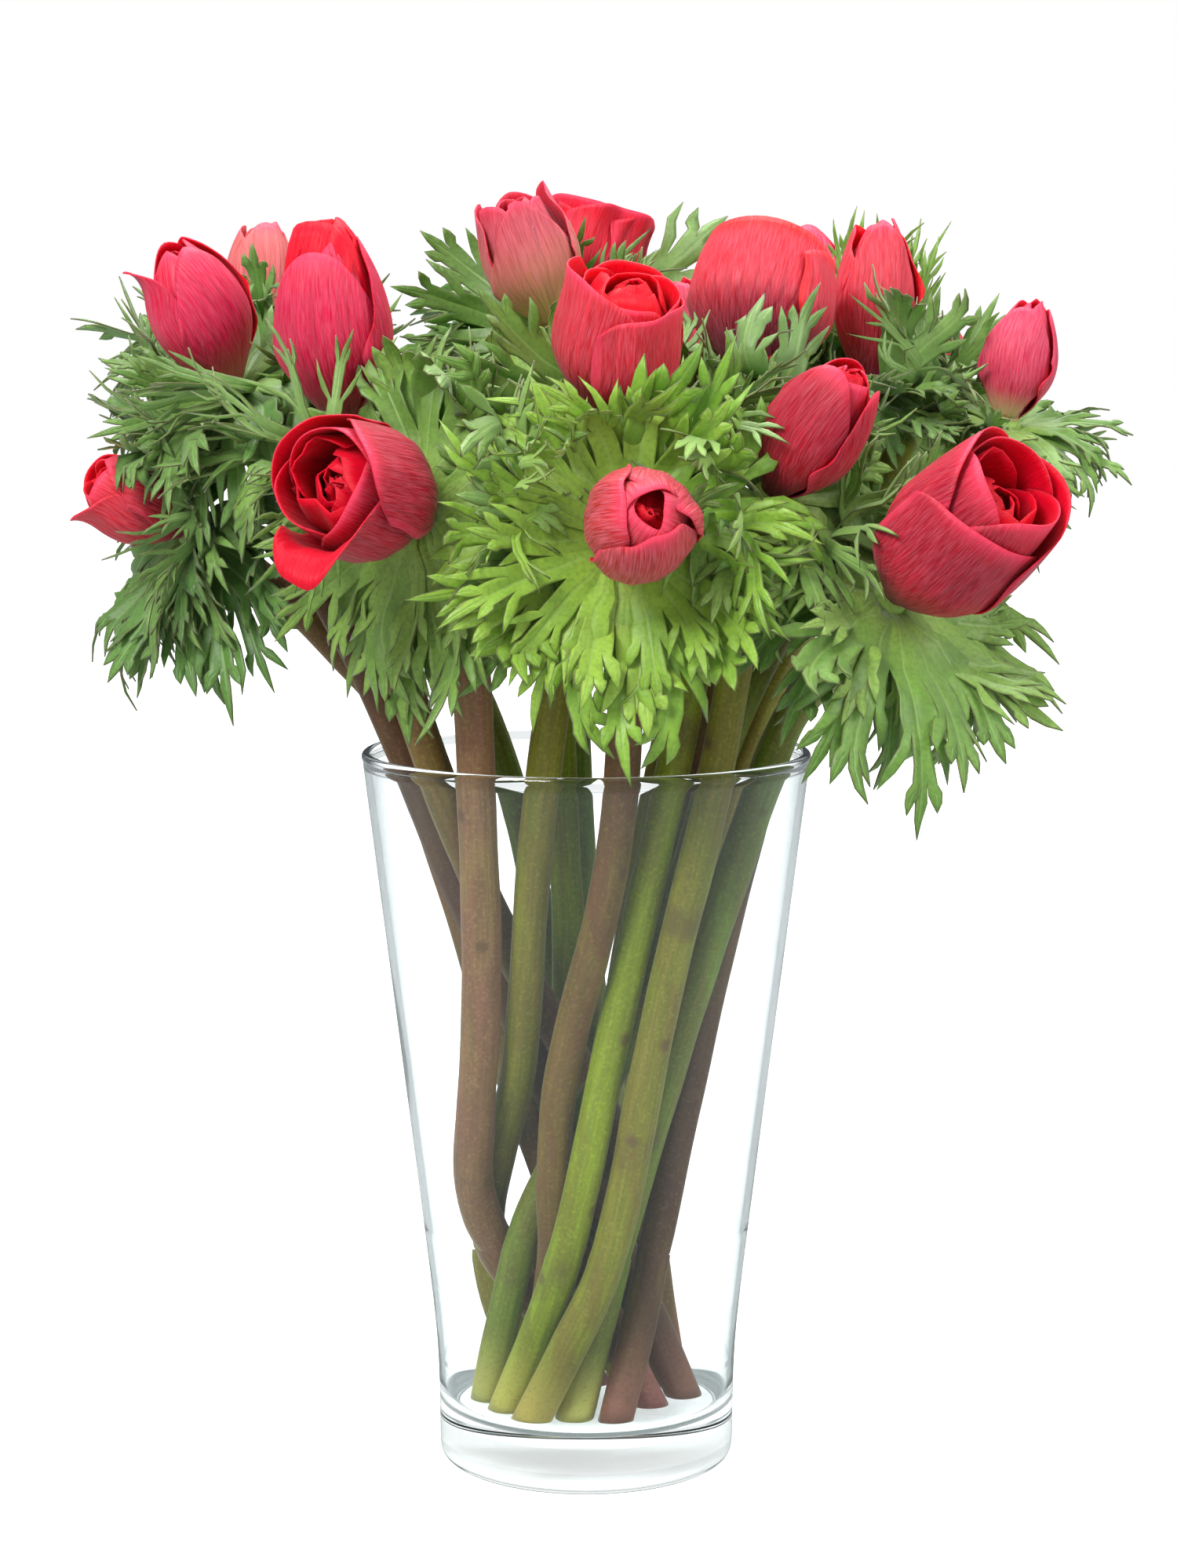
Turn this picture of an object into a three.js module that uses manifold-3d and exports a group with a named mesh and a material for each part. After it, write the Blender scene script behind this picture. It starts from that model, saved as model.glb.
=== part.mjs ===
// A bunch of red anemones standing in a clear glass vase.
// Millimetres, +Z up, origin at the middle of the underside of the vase, front towards -Y.

import * as THREE from 'three';
import { mergeVertices } from 'three/addons/utils/BufferGeometryUtils.js';
import Module from 'manifold-3d';

const wasm = await Module();
wasm.setup();

// Air left between two pieces that touch on the real object, and the finest detail kept
const GAP = 0.3;
const FINEST = 0.1;

// Vase: its outer radius runs straight up from a soft knee above the foot
const VASE_HEIGHT = 190.6;
const FOOT_RADIUS = 39.2;
const TAPER = 0.1235;
const KNEE_HEIGHT = 30;
const KNEE_SOFTNESS = 12;
const WALL = 2;
const FLOOR_HEIGHT = 14.8;
const HEEL_RADIUS = 3;
const INNER_CORNER = 5;
const VASE_SIDES = 30;
const WATER_HEIGHT = 64;

// Stems: number of sides, of steps along the solid, and of points while they are pushed apart
const STEM_SIDES = 6;
const STEM_STEPS = 11;
const STEM_POINTS = 56;
const STEM_CLEARANCE = 1.6;
const SETTLE_ROUNDS = 80;
const PUSH_REACH = 5;
const LEAN_GROWTH = 1.28;

// Collars: three cut leaves on a small hub under each bloom
const HUB_HEIGHT = 5;
const HUB_RADIUS = 4.6;
const LEAVES = 3;
const LOBES = 5;
const LEAF_THICKNESS = 0.8;
const PALM_SHARE = 0.36;
const PALM_STEPS = 6;
const PALM_WIDTHS = [1, 0.85, 0.7, 0.55, 0.4];
const PALM_ROUNDING = 38;
const PLEAT = 0.7;
const LOBE_WIDTH = 0.135;
const LOBE_FAN = 15;
const LOBE_POINTS = 11;
const LOBE_ROWS = [0, 4, 7];
const LEAST_ADVANCE = 0.6;
const BORDER_BEND = 0.45;
const ROOT_HALF_ANGLE = 30;
const ROOT_THICKNESS = 4;
const CELL_GAP = 3;
const SOFT_ROOM = 12;
const OWN_CLEARANCE = 2.2;
const RIM_CLEARANCE = 3;
const LOBE_CLEARANCE = 5;

// Blooms: an outer and an inner layer of three petals on a small receptacle
const PETAL_THICKNESS = 0.7;
const RECEPTACLE_HEIGHT = 1.6;
const IMBRICATION = 0.8;
const OUTER_LAYER = {
  petals: 3, inset: 0, root: 3.2, turn: 0, halfAngle: 61, rows: [0, 0.3, 0.62, 1], columns: [-1, -0.34, 0.34, 1],
};
const INNER_LAYER = {
  petals: 3, inset: 3.6, root: 1.6, turn: 60, halfAngle: 52, rows: [-0.01, 0.62, 0.98], columns: [-1, 0, 1],
};

// Flowers. collar: middle of the leaf collar. faces: the way the bloom looks. length and width: of the
// bloom. open: 0 for a closed bud, 1 for a wide cup. turn: bearing of the first petal, in degrees.
// leaf: length of its leaves. droop: how fast they bend down. stem: stem width. rim and foot: where the stem passes the rim
// and where it stands on the floor.
const FLOWERS = [
  { collar: [-91, -4, 284], faces: [-35, -20, 91], length: 40, width: 26, open: 0.1, turn: 200,
    leaf: 54, droop: 0.6, stem: 9.2, rim: [-49, -8], foot: [27, 3] },
  { collar: [-90, 58, 294], faces: [3, 12, 98], length: 34, width: 20, open: 0.05, turn: 250,
    leaf: 50, droop: 0.7, stem: 8.6, rim: [-22, 30], foot: [14, 18] },
  { collar: [-61, -24, 275], faces: [-8, -17, 98], length: 50, width: 29, open: 0.2, turn: 270,
    leaf: 52, droop: 0.5, stem: 9.4, rim: [-40, -24], foot: [21, 13] },
  { collar: [-8, 14, 300], faces: [-32, -24, 91], length: 37, width: 26, open: 0.1, turn: 230,
    leaf: 44, droop: 0.5, stem: 9, rim: [-8, 4], foot: [6, 8] },
  { collar: [-4, 44, 300], faces: [22, 14, 95], length: 38, width: 30, open: 0.5, turn: 20,
    leaf: 48, droop: 0.5, stem: 9, rim: [-3, 24], foot: [3, 22] },
  { collar: [5, -43, 277], faces: [13, -46, 86], length: 43, width: 32, open: 0.55, turn: 200,
    leaf: 46, droop: 0.5, stem: 9.2, rim: [-11, -40], foot: [-27, 10] },
  { collar: [41, -14, 287], faces: [19, 36, 89], length: 43, width: 37, open: 0.7, turn: 262,
    leaf: 46, droop: 0.5, stem: 9.2, rim: [24, -36], foot: [-19, -3] },
  { collar: [75, 15, 284], faces: [6, 12, 99], length: 43, width: 22, open: 0.2, turn: 250,
    leaf: 46, droop: 0.4, stem: 8.8, rim: [40, -24], foot: [-27, -1] },
  { collar: [64, 60, 288], faces: [-6, 20, 97], length: 38, width: 21, open: 0.05, turn: 90,
    leaf: 50, droop: 0.5, stem: 8.8, rim: [28, 28], foot: [-7, 23] },
  { collar: [37, 22, 280], faces: [-33, 12, 92], length: 34, width: 18, open: 0.05, turn: 250,
    leaf: 34, droop: 0.4, stem: 8.6, rim: [20, 8], foot: [-8, 8] },
  { collar: [45, -50, 259], faces: [48, -46, 75], length: 42, width: 24, open: 0.15, turn: 300,
    leaf: 50, droop: 0.6, stem: 9.4, rim: [34, -38], foot: [-16, -13] },
  { collar: [88, 52, 272], faces: [33, 62, 72], length: 36, width: 22, open: 0.15, turn: 100,
    leaf: 50, droop: 0.6, stem: 8.6, rim: [44, 22], foot: [-17, 17] },
  { collar: [109, 7, 275], faces: [22, -14, 97], length: 35, width: 19, open: 0.05, turn: 296,
    leaf: 36, droop: 0.7, stem: 8.8, rim: [48, 0], foot: [4, -21] },
  { collar: [75, -48, 234], faces: [54, -60, 59], length: 50, width: 36, open: 0.5, turn: 180,
    leaf: 56, droop: 0.9, stem: 9.6, rim: [44, -18], foot: [-6, -19] },
  { collar: [10, -68, 249], faces: [14, -96, 26], length: 38, width: 27, open: 0.15, turn: 40,
    leaf: 54, droop: 0.5, stem: 9.2, rim: [10, -46], foot: [-12, 2] },
  { collar: [-40, -54, 256], faces: [-54, -81, 22], length: 43, width: 34, open: 0.55, turn: 250,
    leaf: 54, droop: 0.7, stem: 10.4, rim: [-28, -41], foot: [-20, 7] },
  { collar: [-103, 4, 248], faces: [-82, -34, 45], length: 35, width: 22, open: 0.35, turn: 290,
    leaf: 46, droop: 1, stem: 8.8, rim: [-50, 12], foot: [17, -6] },
];

const SEED = 6;
let drawState = SEED;

// One even draw from 0 to 1, the same on every run
function draw() {
  drawState = (drawState * 16807) % 2147483647;
  return drawState / 2147483647;
}

const radians = (degrees) => degrees * Math.PI / 180;
const vector = (values) => new THREE.Vector3(...values);
const mix = (a, b, share) => a + (b - a) * share;

// Outer radius of the vase at a height
function wallRadius(height) {
  const above = height - KNEE_HEIGHT;
  return FOOT_RADIUS + TAPER * (Math.hypot(above, KNEE_SOFTNESS) + above) / 2;
}

// Turns a closed triangle geometry into a solid that can be joined and cut
function solidOf(geometry) {
  const bare = geometry.clone();
  bare.deleteAttribute('normal');
  bare.deleteAttribute('uv');
  const merged = mergeVertices(bare, 1e-4);
  return new wasm.Manifold(new wasm.Mesh({
    numProp: 3,
    vertProperties: new Float32Array(merged.attributes.position.array),
    triVerts: new Uint32Array(merged.index.array),
  }));
}

// Turns a solid back into a geometry, without the loose scraps that a cut can leave
function geometryOf(solid) {
  const bodies = solid.decompose();
  bodies.sort((a, b) => b.volume() - a.volume());
  const mesh = bodies[0].simplify(FINEST).getMesh();
  const geometry = new THREE.BufferGeometry();
  geometry.setAttribute('position', new THREE.BufferAttribute(mesh.vertProperties, 3));
  geometry.setIndex(new THREE.BufferAttribute(mesh.triVerts, 1));
  geometry.computeVertexNormals();
  return geometry;
}

// A lathe about +Z from points of radius and height
function turned(points, sides) {
  const profile = points.map(([radius, height]) => new THREE.Vector2(radius, height));
  return new THREE.LatheGeometry(profile, sides).rotateX(Math.PI / 2);
}

// Quarter arc between two bearings, in degrees, as points of radius and height
function arc(radius, height, size, from, to, pieces) {
  const points = [];
  for (let i = 0; i <= pieces; i += 1) {
    const angle = radians(mix(from, to, i / pieces));
    points.push([radius + size * Math.cos(angle), height + size * Math.sin(angle)]);
  }
  return points;
}

// Inside of the vase from the middle of the floor up to a height, set in by an allowance
function innerProfile(top, allowance) {
  const corner = FLOOR_HEIGHT + INNER_CORNER;
  const cornerRadius = wallRadius(corner) - WALL - INNER_CORNER;
  const heights = [34, 52, top];
  return [
    [0, FLOOR_HEIGHT + allowance],
    ...arc(cornerRadius, corner, INNER_CORNER - allowance, -90, 0, 2),
    ...heights.map((height) => [wallRadius(height) - WALL - allowance, height]),
  ];
}

function vaseGeometry() {
  const lipHeight = VASE_HEIGHT - WALL / 2;
  const lipRadius = wallRadius(lipHeight) - WALL / 2;
  const outside = [52, 34, 20].map((height) => [wallRadius(height), height]);
  return turned([
    ...innerProfile(lipHeight, 0),
    ...arc(lipRadius, lipHeight, WALL / 2, 135, 45, 2),
    [wallRadius(lipHeight), lipHeight],
    ...outside,
    ...arc(FOOT_RADIUS - HEEL_RADIUS, HEEL_RADIUS, HEEL_RADIUS, 0, -90, 2),
    [0, 0],
  ].reverse(), VASE_SIDES);
}

// Two unit vectors square to an axis, the first one level
function frameOf(axis) {
  const side = new THREE.Vector3(axis.y, -axis.x, 0);
  if (side.length() < 1e-3) {
    side.set(1, 0, 0);
  }
  side.normalize();
  return { side, up: new THREE.Vector3().crossVectors(side, axis).normalize() };
}

// Direction square to a flower's axis at a bearing, in degrees
function around(flower, bearing) {
  const angle = radians(bearing);
  return flower.side.clone().multiplyScalar(Math.cos(angle))
    .addScaledVector(flower.up, Math.sin(angle));
}

// Radius of a bloom's outer petals at a share of its length
function bloomRadius(flower, share, root = OUTER_LAYER.root) {
  const half = flower.width / 2;
  if (share < 0.5) {
    return root + (half - root) * Math.sin(Math.PI * share);
  }
  const mouth = mix(0.42, 1.22, flower.open);
  return half * mix(1, mouth, (2 * share - 1) ** 2);
}

// First run of a stem: straight from the floor to the rim, then a smooth bend to its collar
function stemStart(flower) {
  const foot = new THREE.Vector3(flower.foot[0], flower.foot[1], FLOOR_HEIGHT + GAP);
  const rim = new THREE.Vector3(flower.rim[0], flower.rim[1], VASE_HEIGHT);
  const top = flower.hub.clone().addScaledVector(flower.axis, -(HUB_HEIGHT / 2 + GAP));
  const reach = top.distanceTo(rim);
  const lean = rim.clone().sub(foot).normalize();
  const bend = new THREE.CubicBezierCurve3(
    rim,
    rim.clone().addScaledVector(lean, reach * 0.4),
    top.clone().addScaledVector(flower.axis, -reach * 0.38),
    top,
  );
  const path = new THREE.CurvePath();
  path.add(new THREE.LineCurve3(foot, rim));
  path.add(bend);
  return path.getSpacedPoints(STEM_POINTS - 1);
}

// Keeps a stem's point inside the vase
function holdInVase(point, radius) {
  if (point.z > VASE_HEIGHT + 2 * radius) {
    return;
  }
  const inside = wallRadius(Math.max(point.z, FLOOR_HEIGHT)) - WALL;
  const corner = Math.max(0, FLOOR_HEIGHT + INNER_CORNER - point.z);
  const most = inside - LEAN_GROWTH * radius - 3 * GAP - corner;
  const distance = Math.hypot(point.x, point.y);
  if (distance > most) {
    point.x *= most / distance;
    point.y *= most / distance;
  }
}

// Pushes crossing stems apart until every two are clear of each other
function settleStems(flowers) {
  for (let round = 0; round < SETTLE_ROUNDS; round += 1) {
    for (let i = 0; i < flowers.length; i += 1) {
      for (let j = i + 1; j < flowers.length; j += 1) {
        pushApart(flowers[i], flowers[j]);
      }
    }
    for (const flower of flowers) {
      smoothStem(flower, round < SETTLE_ROUNDS - 15 ? 0.2 : 0);
    }
  }
}

// Moves two stems away from each other round the place where they come closest
function pushApart(flowerA, flowerB) {
  const [m, n] = closestPoints(flowerA.path, flowerB.path);
  const apart = flowerA.path[m].clone().sub(flowerB.path[n]);
  const alongA = tangentAt(flowerA.path, m);
  const alongB = tangentAt(flowerB.path, n);
  const push = new THREE.Vector3().crossVectors(alongA, alongB);
  if (push.length() < 0.25) {
    push.copy(apart).addScaledVector(alongA, -apart.dot(alongA));
  }
  push.normalize();
  push.multiplyScalar(apart.dot(push) < 0 ? -1 : 1);
  const lack = (flowerA.stem + flowerB.stem) / 2 + STEM_CLEARANCE - apart.dot(push);
  if (lack > 0 && apart.length() < (flowerA.stem + flowerB.stem) / 2 + 2 * STEM_CLEARANCE) {
    shiftNear(flowerA, m, push, lack / 2);
    shiftNear(flowerB, n, push, -lack / 2);
  }
}

function closestPoints(pathA, pathB) {
  let best = [0, 0];
  let least = Infinity;
  pathA.forEach((a, m) => pathB.forEach((b, n) => {
    const distance = a.distanceToSquared(b);
    if (distance < least) {
      least = distance;
      best = [m, n];
    }
  }));
  return best;
}

function tangentAt(path, k) {
  return path[Math.min(k + 1, path.length - 1)].clone().sub(path[Math.max(k - 1, 0)]).normalize();
}

// Shifts a stem round one of its points, most there and less away from it; its top stays
function shiftNear(flower, middle, push, amount) {
  flower.path.forEach((point, k) => {
    const weight = Math.exp(-(((k - middle) / PUSH_REACH) ** 2));
    if (k < flower.path.length - 2 && weight > 0.02) {
      point.addScaledVector(push, amount * weight);
      holdInVase(point, flower.stem / 2);
    }
  });
  flower.path[0].z = FLOOR_HEIGHT + GAP;
}

// Evens out a stem's bends; its foot and its top stay
function smoothStem(flower, amount) {
  const before = flower.path.map((point) => point.clone());
  for (let k = 1; k < before.length - 2; k += 1) {
    const bend = before[k - 1].clone().add(before[k + 1]).addScaledVector(before[k], -2);
    flower.path[k].addScaledVector(bend, amount);
    holdInVase(flower.path[k], flower.stem / 2);
  }
}

// A stem as a tube whose foot is cut level
function stemTube(flower, radius, footHeight) {
  const corners = [];
  for (let side = 0; side < STEM_SIDES; side += 1) {
    const angle = 2 * Math.PI * side / STEM_SIDES;
    corners.push(new THREE.Vector2(radius * Math.cos(angle), radius * Math.sin(angle)));
  }
  const curve = new THREE.CatmullRomCurve3(flower.path);
  const tube = new THREE.ExtrudeGeometry(new THREE.Shape(corners), {
    steps: STEM_STEPS, bevelEnabled: false, extrudePath: curve,
  });
  const start = curve.getPointAt(0);
  const lean = curve.getPointAt(1 / STEM_STEPS).sub(start).normalize();
  const facing = curve.getTangentAt(0);
  const places = tube.attributes.position;
  for (let i = 0; i < places.count; i += 1) {
    const corner = new THREE.Vector3().fromBufferAttribute(places, i);
    const along = corner.clone().sub(start).dot(facing);
    if (Math.abs(along) < 0.05) {
      corner.addScaledVector(lean, (footHeight - corner.z) / lean.z);
      places.setXYZ(i, corner.x, corner.y, corner.z);
    }
  }
  return tube;
}

// Balls along a flower's stem and bloom that its neighbours' leaves keep away from
function ballsOf(flower) {
  const balls = flower.path.map((centre) => ({ centre, radius: flower.stem / 2 }));
  for (let share = 0; share <= 1; share += 0.1) {
    const centre = flower.hub.clone().addScaledVector(flower.axis, HUB_HEIGHT / 2 + share * flower.length);
    balls.push({ centre, radius: bloomRadius(flower, share) + IMBRICATION });
  }
  return balls;
}

// Nearest ball of a flower to a point: distance to its skin and the direction away from it
function nearest(flower, point) {
  let distance = Infinity;
  let centre = null;
  for (const ball of flower.balls) {
    const reach = point.distanceTo(ball.centre) - ball.radius;
    if (reach < distance) {
      distance = reach;
      centre = ball.centre;
    }
  }
  return { distance, away: point.clone().sub(centre).normalize() };
}

// Moves a leaf's point into its own flower's share of the room, off its own bloom and off the vase
function keepInCell(flower, flowers, point) {
  for (let pass = 0; pass < 5; pass += 1) {
    const { room, back } = roomAt(flower, flowers, point);
    if (room < CELL_GAP) {
      point.addScaledVector(back, Math.min(4, (CELL_GAP - room) / Math.max(back.lengthSq(), 0.4)));
    }
    const rest = nearest(flower, point);
    if (rest.distance < OWN_CLEARANCE) {
      point.addScaledVector(rest.away, OWN_CLEARANCE - rest.distance);
    }
    keepOffRim(point);
  }
}

function keepOffRim(point) {
  const distance = Math.hypot(point.x, point.y);
  const clear = wallRadius(Math.min(point.z, VASE_HEIGHT)) + RIM_CLEARANCE;
  if (point.z < VASE_HEIGHT + RIM_CLEARANCE && distance < clear) {
    point.x *= clear / distance;
    point.y *= clear / distance;
  }
}

// Room that a point has before it leaves its flower's share, and the way back into it
function roomAt(flower, flowers, point) {
  const own = nearest(flower, point);
  let other = { distance: Infinity };
  for (const neighbour of flowers) {
    if (neighbour !== flower) {
      const found = nearest(neighbour, point);
      other = found.distance < other.distance ? found : other;
    }
  }
  return { room: other.distance - own.distance, back: other.away.clone().sub(own.away) };
}

// Bends a growing leaf's heading down by its weight and back from the border of its flower's share
function bendHeading(flower, flowers, point, heading, step) {
  const { room, back } = roomAt(flower, flowers, point);
  const nearness = Math.max(0, 1 - (room - CELL_GAP) / SOFT_ROOM);
  heading.z -= flower.droop * step / flower.leaf;
  heading.addScaledVector(back.normalize(), BORDER_BEND * nearness).normalize();
}

// The undivided part of a leaf: where its notches lie, and which way its lobes go on
function growPalm(flower, flowers, plan) {
  const outward = around(flower, plan.middle);
  const along = outward.clone().multiplyScalar(Math.cos(plan.rise))
    .addScaledVector(flower.axis, Math.sin(plan.rise));
  const across = around(flower, plan.middle + 90);
  const end = flower.hub.clone().addScaledVector(outward, HUB_RADIUS);
  const step = PALM_SHARE * flower.leaf / PALM_STEPS;
  for (let i = 0; i < PALM_STEPS; i += 1) {
    const last = end.clone();
    bendHeading(flower, flowers, end, along, step);
    end.addScaledVector(along, step);
    keepInCell(flower, flowers, end);
    along.lerp(end.clone().sub(last).normalize(), 0.5).normalize();
    across.addScaledVector(along, -across.dot(along)).normalize();
  }
  const normal = new THREE.Vector3().crossVectors(along, across);
  const palm = { along, across, normal, notches: [] };
  for (const share of PALM_WIDTHS) {
    palm.notches = notchEdges(palm, end, share * LOBE_WIDTH * flower.leaf);
    const fits = palm.notches.every(({ place }) => roomAt(flower, flowers, place).room > CELL_GAP);
    if (fits) {
      break;
    }
  }
  return palm;
}

// Edge points across a leaf where its lobes part: on an arc, and pleated
function notchEdges({ along, across, normal }, end, width) {
  const edges = [];
  for (let i = 0; i <= LOBES; i += 1) {
    const aside = (i - LOBES / 2) * width;
    const place = end.clone().addScaledVector(across, aside)
      .addScaledVector(along, -(aside ** 2) / PALM_ROUNDING)
      .addScaledVector(normal, i % 2 ? PLEAT : -PLEAT);
    edges.push({ place, normal, thickness: LEAF_THICKNESS });
  }
  return edges;
}

// Midrib of one lobe, grown in small steps from its notches; it ends early where it finds no way on
function growLobe(flower, flowers, grown, start, heading, length) {
  const step = length / (LOBE_POINTS - 1);
  const points = [start];
  while (points.length < LOBE_POINTS) {
    const last = points[points.length - 1];
    bendHeading(flower, flowers, last, heading, step);
    const next = last.clone().addScaledVector(heading, step);
    keepOffLobes(grown, next, points.length);
    keepInCell(flower, flowers, next);
    const moved = next.clone().sub(last).normalize();
    if (points.length > 3 && moved.dot(heading) < LEAST_ADVANCE) {
      break;
    }
    heading.lerp(moved, 0.5).normalize();
    points.push(next);
  }
  return new THREE.CatmullRomCurve3(points).getSpacedPoints(LOBE_POINTS - 1);
}

// Moves a lobe's point off the lobes that its collar already has, more so further from the notch
function keepOffLobes(grown, point, count) {
  const clear = LOBE_CLEARANCE * Math.min(1, count / 5);
  for (const midrib of grown) {
    for (const other of midrib.slice(1)) {
      const apart = point.clone().sub(other);
      const distance = apart.length();
      if (distance < clear) {
        point.addScaledVector(apart, (clear - distance) / distance * 0.7);
      }
    }
  }
}

// The two skin points of an edge
function skins(edge) {
  return [0.5, -0.5].map((face) => edge.place.clone().addScaledVector(edge.normal, face * edge.thickness));
}

// Both edges of a lobe at each of its rows, carried along its midrib and narrowed
function lobeRows(midrib, leftNotch, rightNotch) {
  const rows = [[leftNotch, rightNotch]];
  const across = rightNotch.place.clone().sub(leftNotch.place);
  const halfWidth = across.length() / 2;
  for (let k = 1; k <= LOBE_ROWS[LOBE_ROWS.length - 1]; k += 1) {
    const along = midrib[k + 1].clone().sub(midrib[k - 1]).normalize();
    across.addScaledVector(along, -across.dot(along)).normalize();
    if (LOBE_ROWS.includes(k)) {
      const half = halfWidth * (1 - 0.5 * (rows.length / LOBE_ROWS.length) ** 1.6);
      const normal = new THREE.Vector3().crossVectors(along, across);
      rows.push([-half, half].map((aside) => (
        { place: midrib[k].clone().addScaledVector(across, aside), normal, thickness: LEAF_THICKNESS }
      )));
    }
  }
  return rows;
}

// A lobe as a thin closed blade from the notch to its point
function lobeSolid(midrib, leftNotch, rightNotch) {
  const corners = [];
  const faces = [[0, 1, 3], [1, 2, 3]];
  const rows = lobeRows(midrib, leftNotch, rightNotch);
  for (let row = 0; row < rows.length; row += 1) {
    const [left, right] = rows[row].map(skins);
    corners.push(left[0], right[0], right[1], left[1]);
    const a = (row - 1) * 4;
    const b = row * 4;
    if (row > 0) {
      faces.push([a, b, b + 1], [a, b + 1, a + 1], [a + 3, b + 2, b + 3], [a + 3, a + 2, b + 2]);
      faces.push([a, a + 3, b + 3], [a, b + 3, b], [a + 1, b + 1, b + 2], [a + 1, b + 2, a + 2]);
    }
  }
  corners.push(midrib[LOBE_POINTS - 1]);
  const apex = corners.length - 1;
  const end = apex - 4;
  faces.push([end, apex, end + 1], [end + 1, apex, end + 2], [end + 2, apex, end + 3], [end + 3, apex, end]);
  return closedSolid(corners, faces);
}

// The undivided part of a leaf, from a thick narrow root on the hub to the notches between its lobes
function palmSolid(roots, notches) {
  const ring = [roots[0], roots[1], ...notches.slice().reverse()];
  const corners = ring.flatMap(skins);
  const middle = 2 + Math.floor(notches.length / 2);
  const triangles = [[0, 1, middle]];
  for (let i = 2; i + 1 < ring.length; i += 1) {
    triangles.push([i < middle ? 1 : 0, i, i + 1]);
  }
  const faces = triangles.flatMap(([a, b, c]) => [[2 * a, 2 * b, 2 * c], [2 * a + 1, 2 * c + 1, 2 * b + 1]]);
  ring.forEach((edge, i) => {
    const a = 2 * i;
    const b = 2 * ((i + 1) % ring.length);
    faces.push([a, a + 1, b + 1], [a, b + 1, b]);
  });
  return closedSolid(corners, faces);
}

// Where a leaf's root meets the hub, on one side of the leaf
function rootEdge(flower, bearing) {
  return {
    place: flower.hub.clone().addScaledVector(around(flower, bearing), HUB_RADIUS),
    normal: flower.axis.clone().negate(),
    thickness: ROOT_THICKNESS,
  };
}

// The hub as a low prism whose sides are the roots of the leaves and the gaps between them
function hubSolid(roots) {
  const corners = roots.flatMap(skins);
  const faces = [];
  const count = roots.length;
  for (let i = 1; i + 1 < count; i += 1) {
    faces.push([0, 2 * i + 2, 2 * i], [1, 2 * i + 1, 2 * i + 3]);
  }
  for (let i = 0; i < count; i += 1) {
    const a = 2 * i;
    const b = 2 * ((i + 1) % count);
    faces.push([a, b, b + 1], [a, b + 1, a + 1]);
  }
  return closedSolid(corners, faces);
}

// A solid from corner points and triangles, turned the right way out
function closedSolid(corners, faces) {
  const vertProperties = new Float32Array(corners.flatMap((corner) => corner.toArray()));
  const mesh = (list) => new wasm.Mesh({ numProp: 3, vertProperties, triVerts: new Uint32Array(list.flat()) });
  const solid = new wasm.Manifold(mesh(faces));
  if (solid.volume() > 0) {
    return solid;
  }
  return new wasm.Manifold(mesh(faces.map(([a, b, c]) => [a, c, b])));
}

// How one collar's leaves set out and how long their lobes are
function leafPlans(flower) {
  const plans = [];
  for (let leaf = 0; leaf < LEAVES; leaf += 1) {
    const middle = flower.turn + 360 / LEAVES * leaf + mix(-8, 8, draw());
    const rise = radians(mix(2, 30, draw()));
    const lobes = [];
    for (let i = 0; i < LOBES; i += 1) {
      const side = i - (LOBES - 1) / 2;
      lobes.push({
        fan: radians(side * LOBE_FAN + mix(-5, 5, draw())),
        lift: mix(-0.25, 0.25, draw()),
        length: flower.leaf * (1 - PALM_SHARE) * (1 - 0.1 * Math.abs(side)) * mix(0.85, 1.08, draw()),
      });
    }
    plans.push({ middle, rise, lobes });
  }
  return plans;
}

// The lobes' midribs of one leaf
function growLobes(flower, flowers, grown, palm, lobes) {
  return lobes.map(({ fan, lift, length }, i) => {
    const start = palm.notches[i].place.clone().add(palm.notches[i + 1].place).multiplyScalar(0.5);
    const heading = palm.along.clone().multiplyScalar(Math.cos(fan))
      .addScaledVector(palm.across, Math.sin(fan)).addScaledVector(palm.normal, lift).normalize();
    const midrib = growLobe(flower, flowers, grown, start, heading, length);
    grown.push(midrib);
    return midrib;
  });
}

function collarGeometry(flower, flowers) {
  const pieces = [];
  const grown = [];
  const hubRing = [];
  for (const plan of flower.leafPlans) {
    const roots = [-1, 1].map((side) => rootEdge(flower, plan.middle + side * ROOT_HALF_ANGLE));
    const palm = growPalm(flower, flowers, plan);
    const midribs = growLobes(flower, flowers, grown, palm, plan.lobes);
    pieces.push(palmSolid(roots, palm.notches));
    midribs.forEach((midrib, i) => pieces.push(lobeSolid(midrib, palm.notches[i], palm.notches[i + 1])));
    hubRing.push(...roots);
  }
  pieces.push(hubSolid(hubRing));
  return geometryOf(wasm.Manifold.union(pieces));
}

// Half the angle that a petal spans at a share of its length, with a rounded top
function petalSpan(layer, share) {
  const round = Math.max(0, (share - 0.6) / 0.4);
  return layer.halfAngle * (0.8 + 0.2 * Math.min(1, share / 0.5)) * Math.sqrt(1 - 0.82 * round ** 2);
}

// A point of a petal: u runs across it from -1 to 1, share from its root to its top
function petalPoint(flower, layer, bearing, u, share) {
  const spread = Math.min(1, Math.max(0, share) / 0.1);
  const radius = bloomRadius(flower, share, layer.root) + spread * (IMBRICATION * u - layer.inset);
  const out = around(flower, bearing + u * petalSpan(layer, share));
  const height = HUB_HEIGHT / 2 + GAP + mix(RECEPTACLE_HEIGHT, flower.length, share);
  return flower.hub.clone().addScaledVector(flower.axis, height).addScaledVector(out, radius);
}

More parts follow.
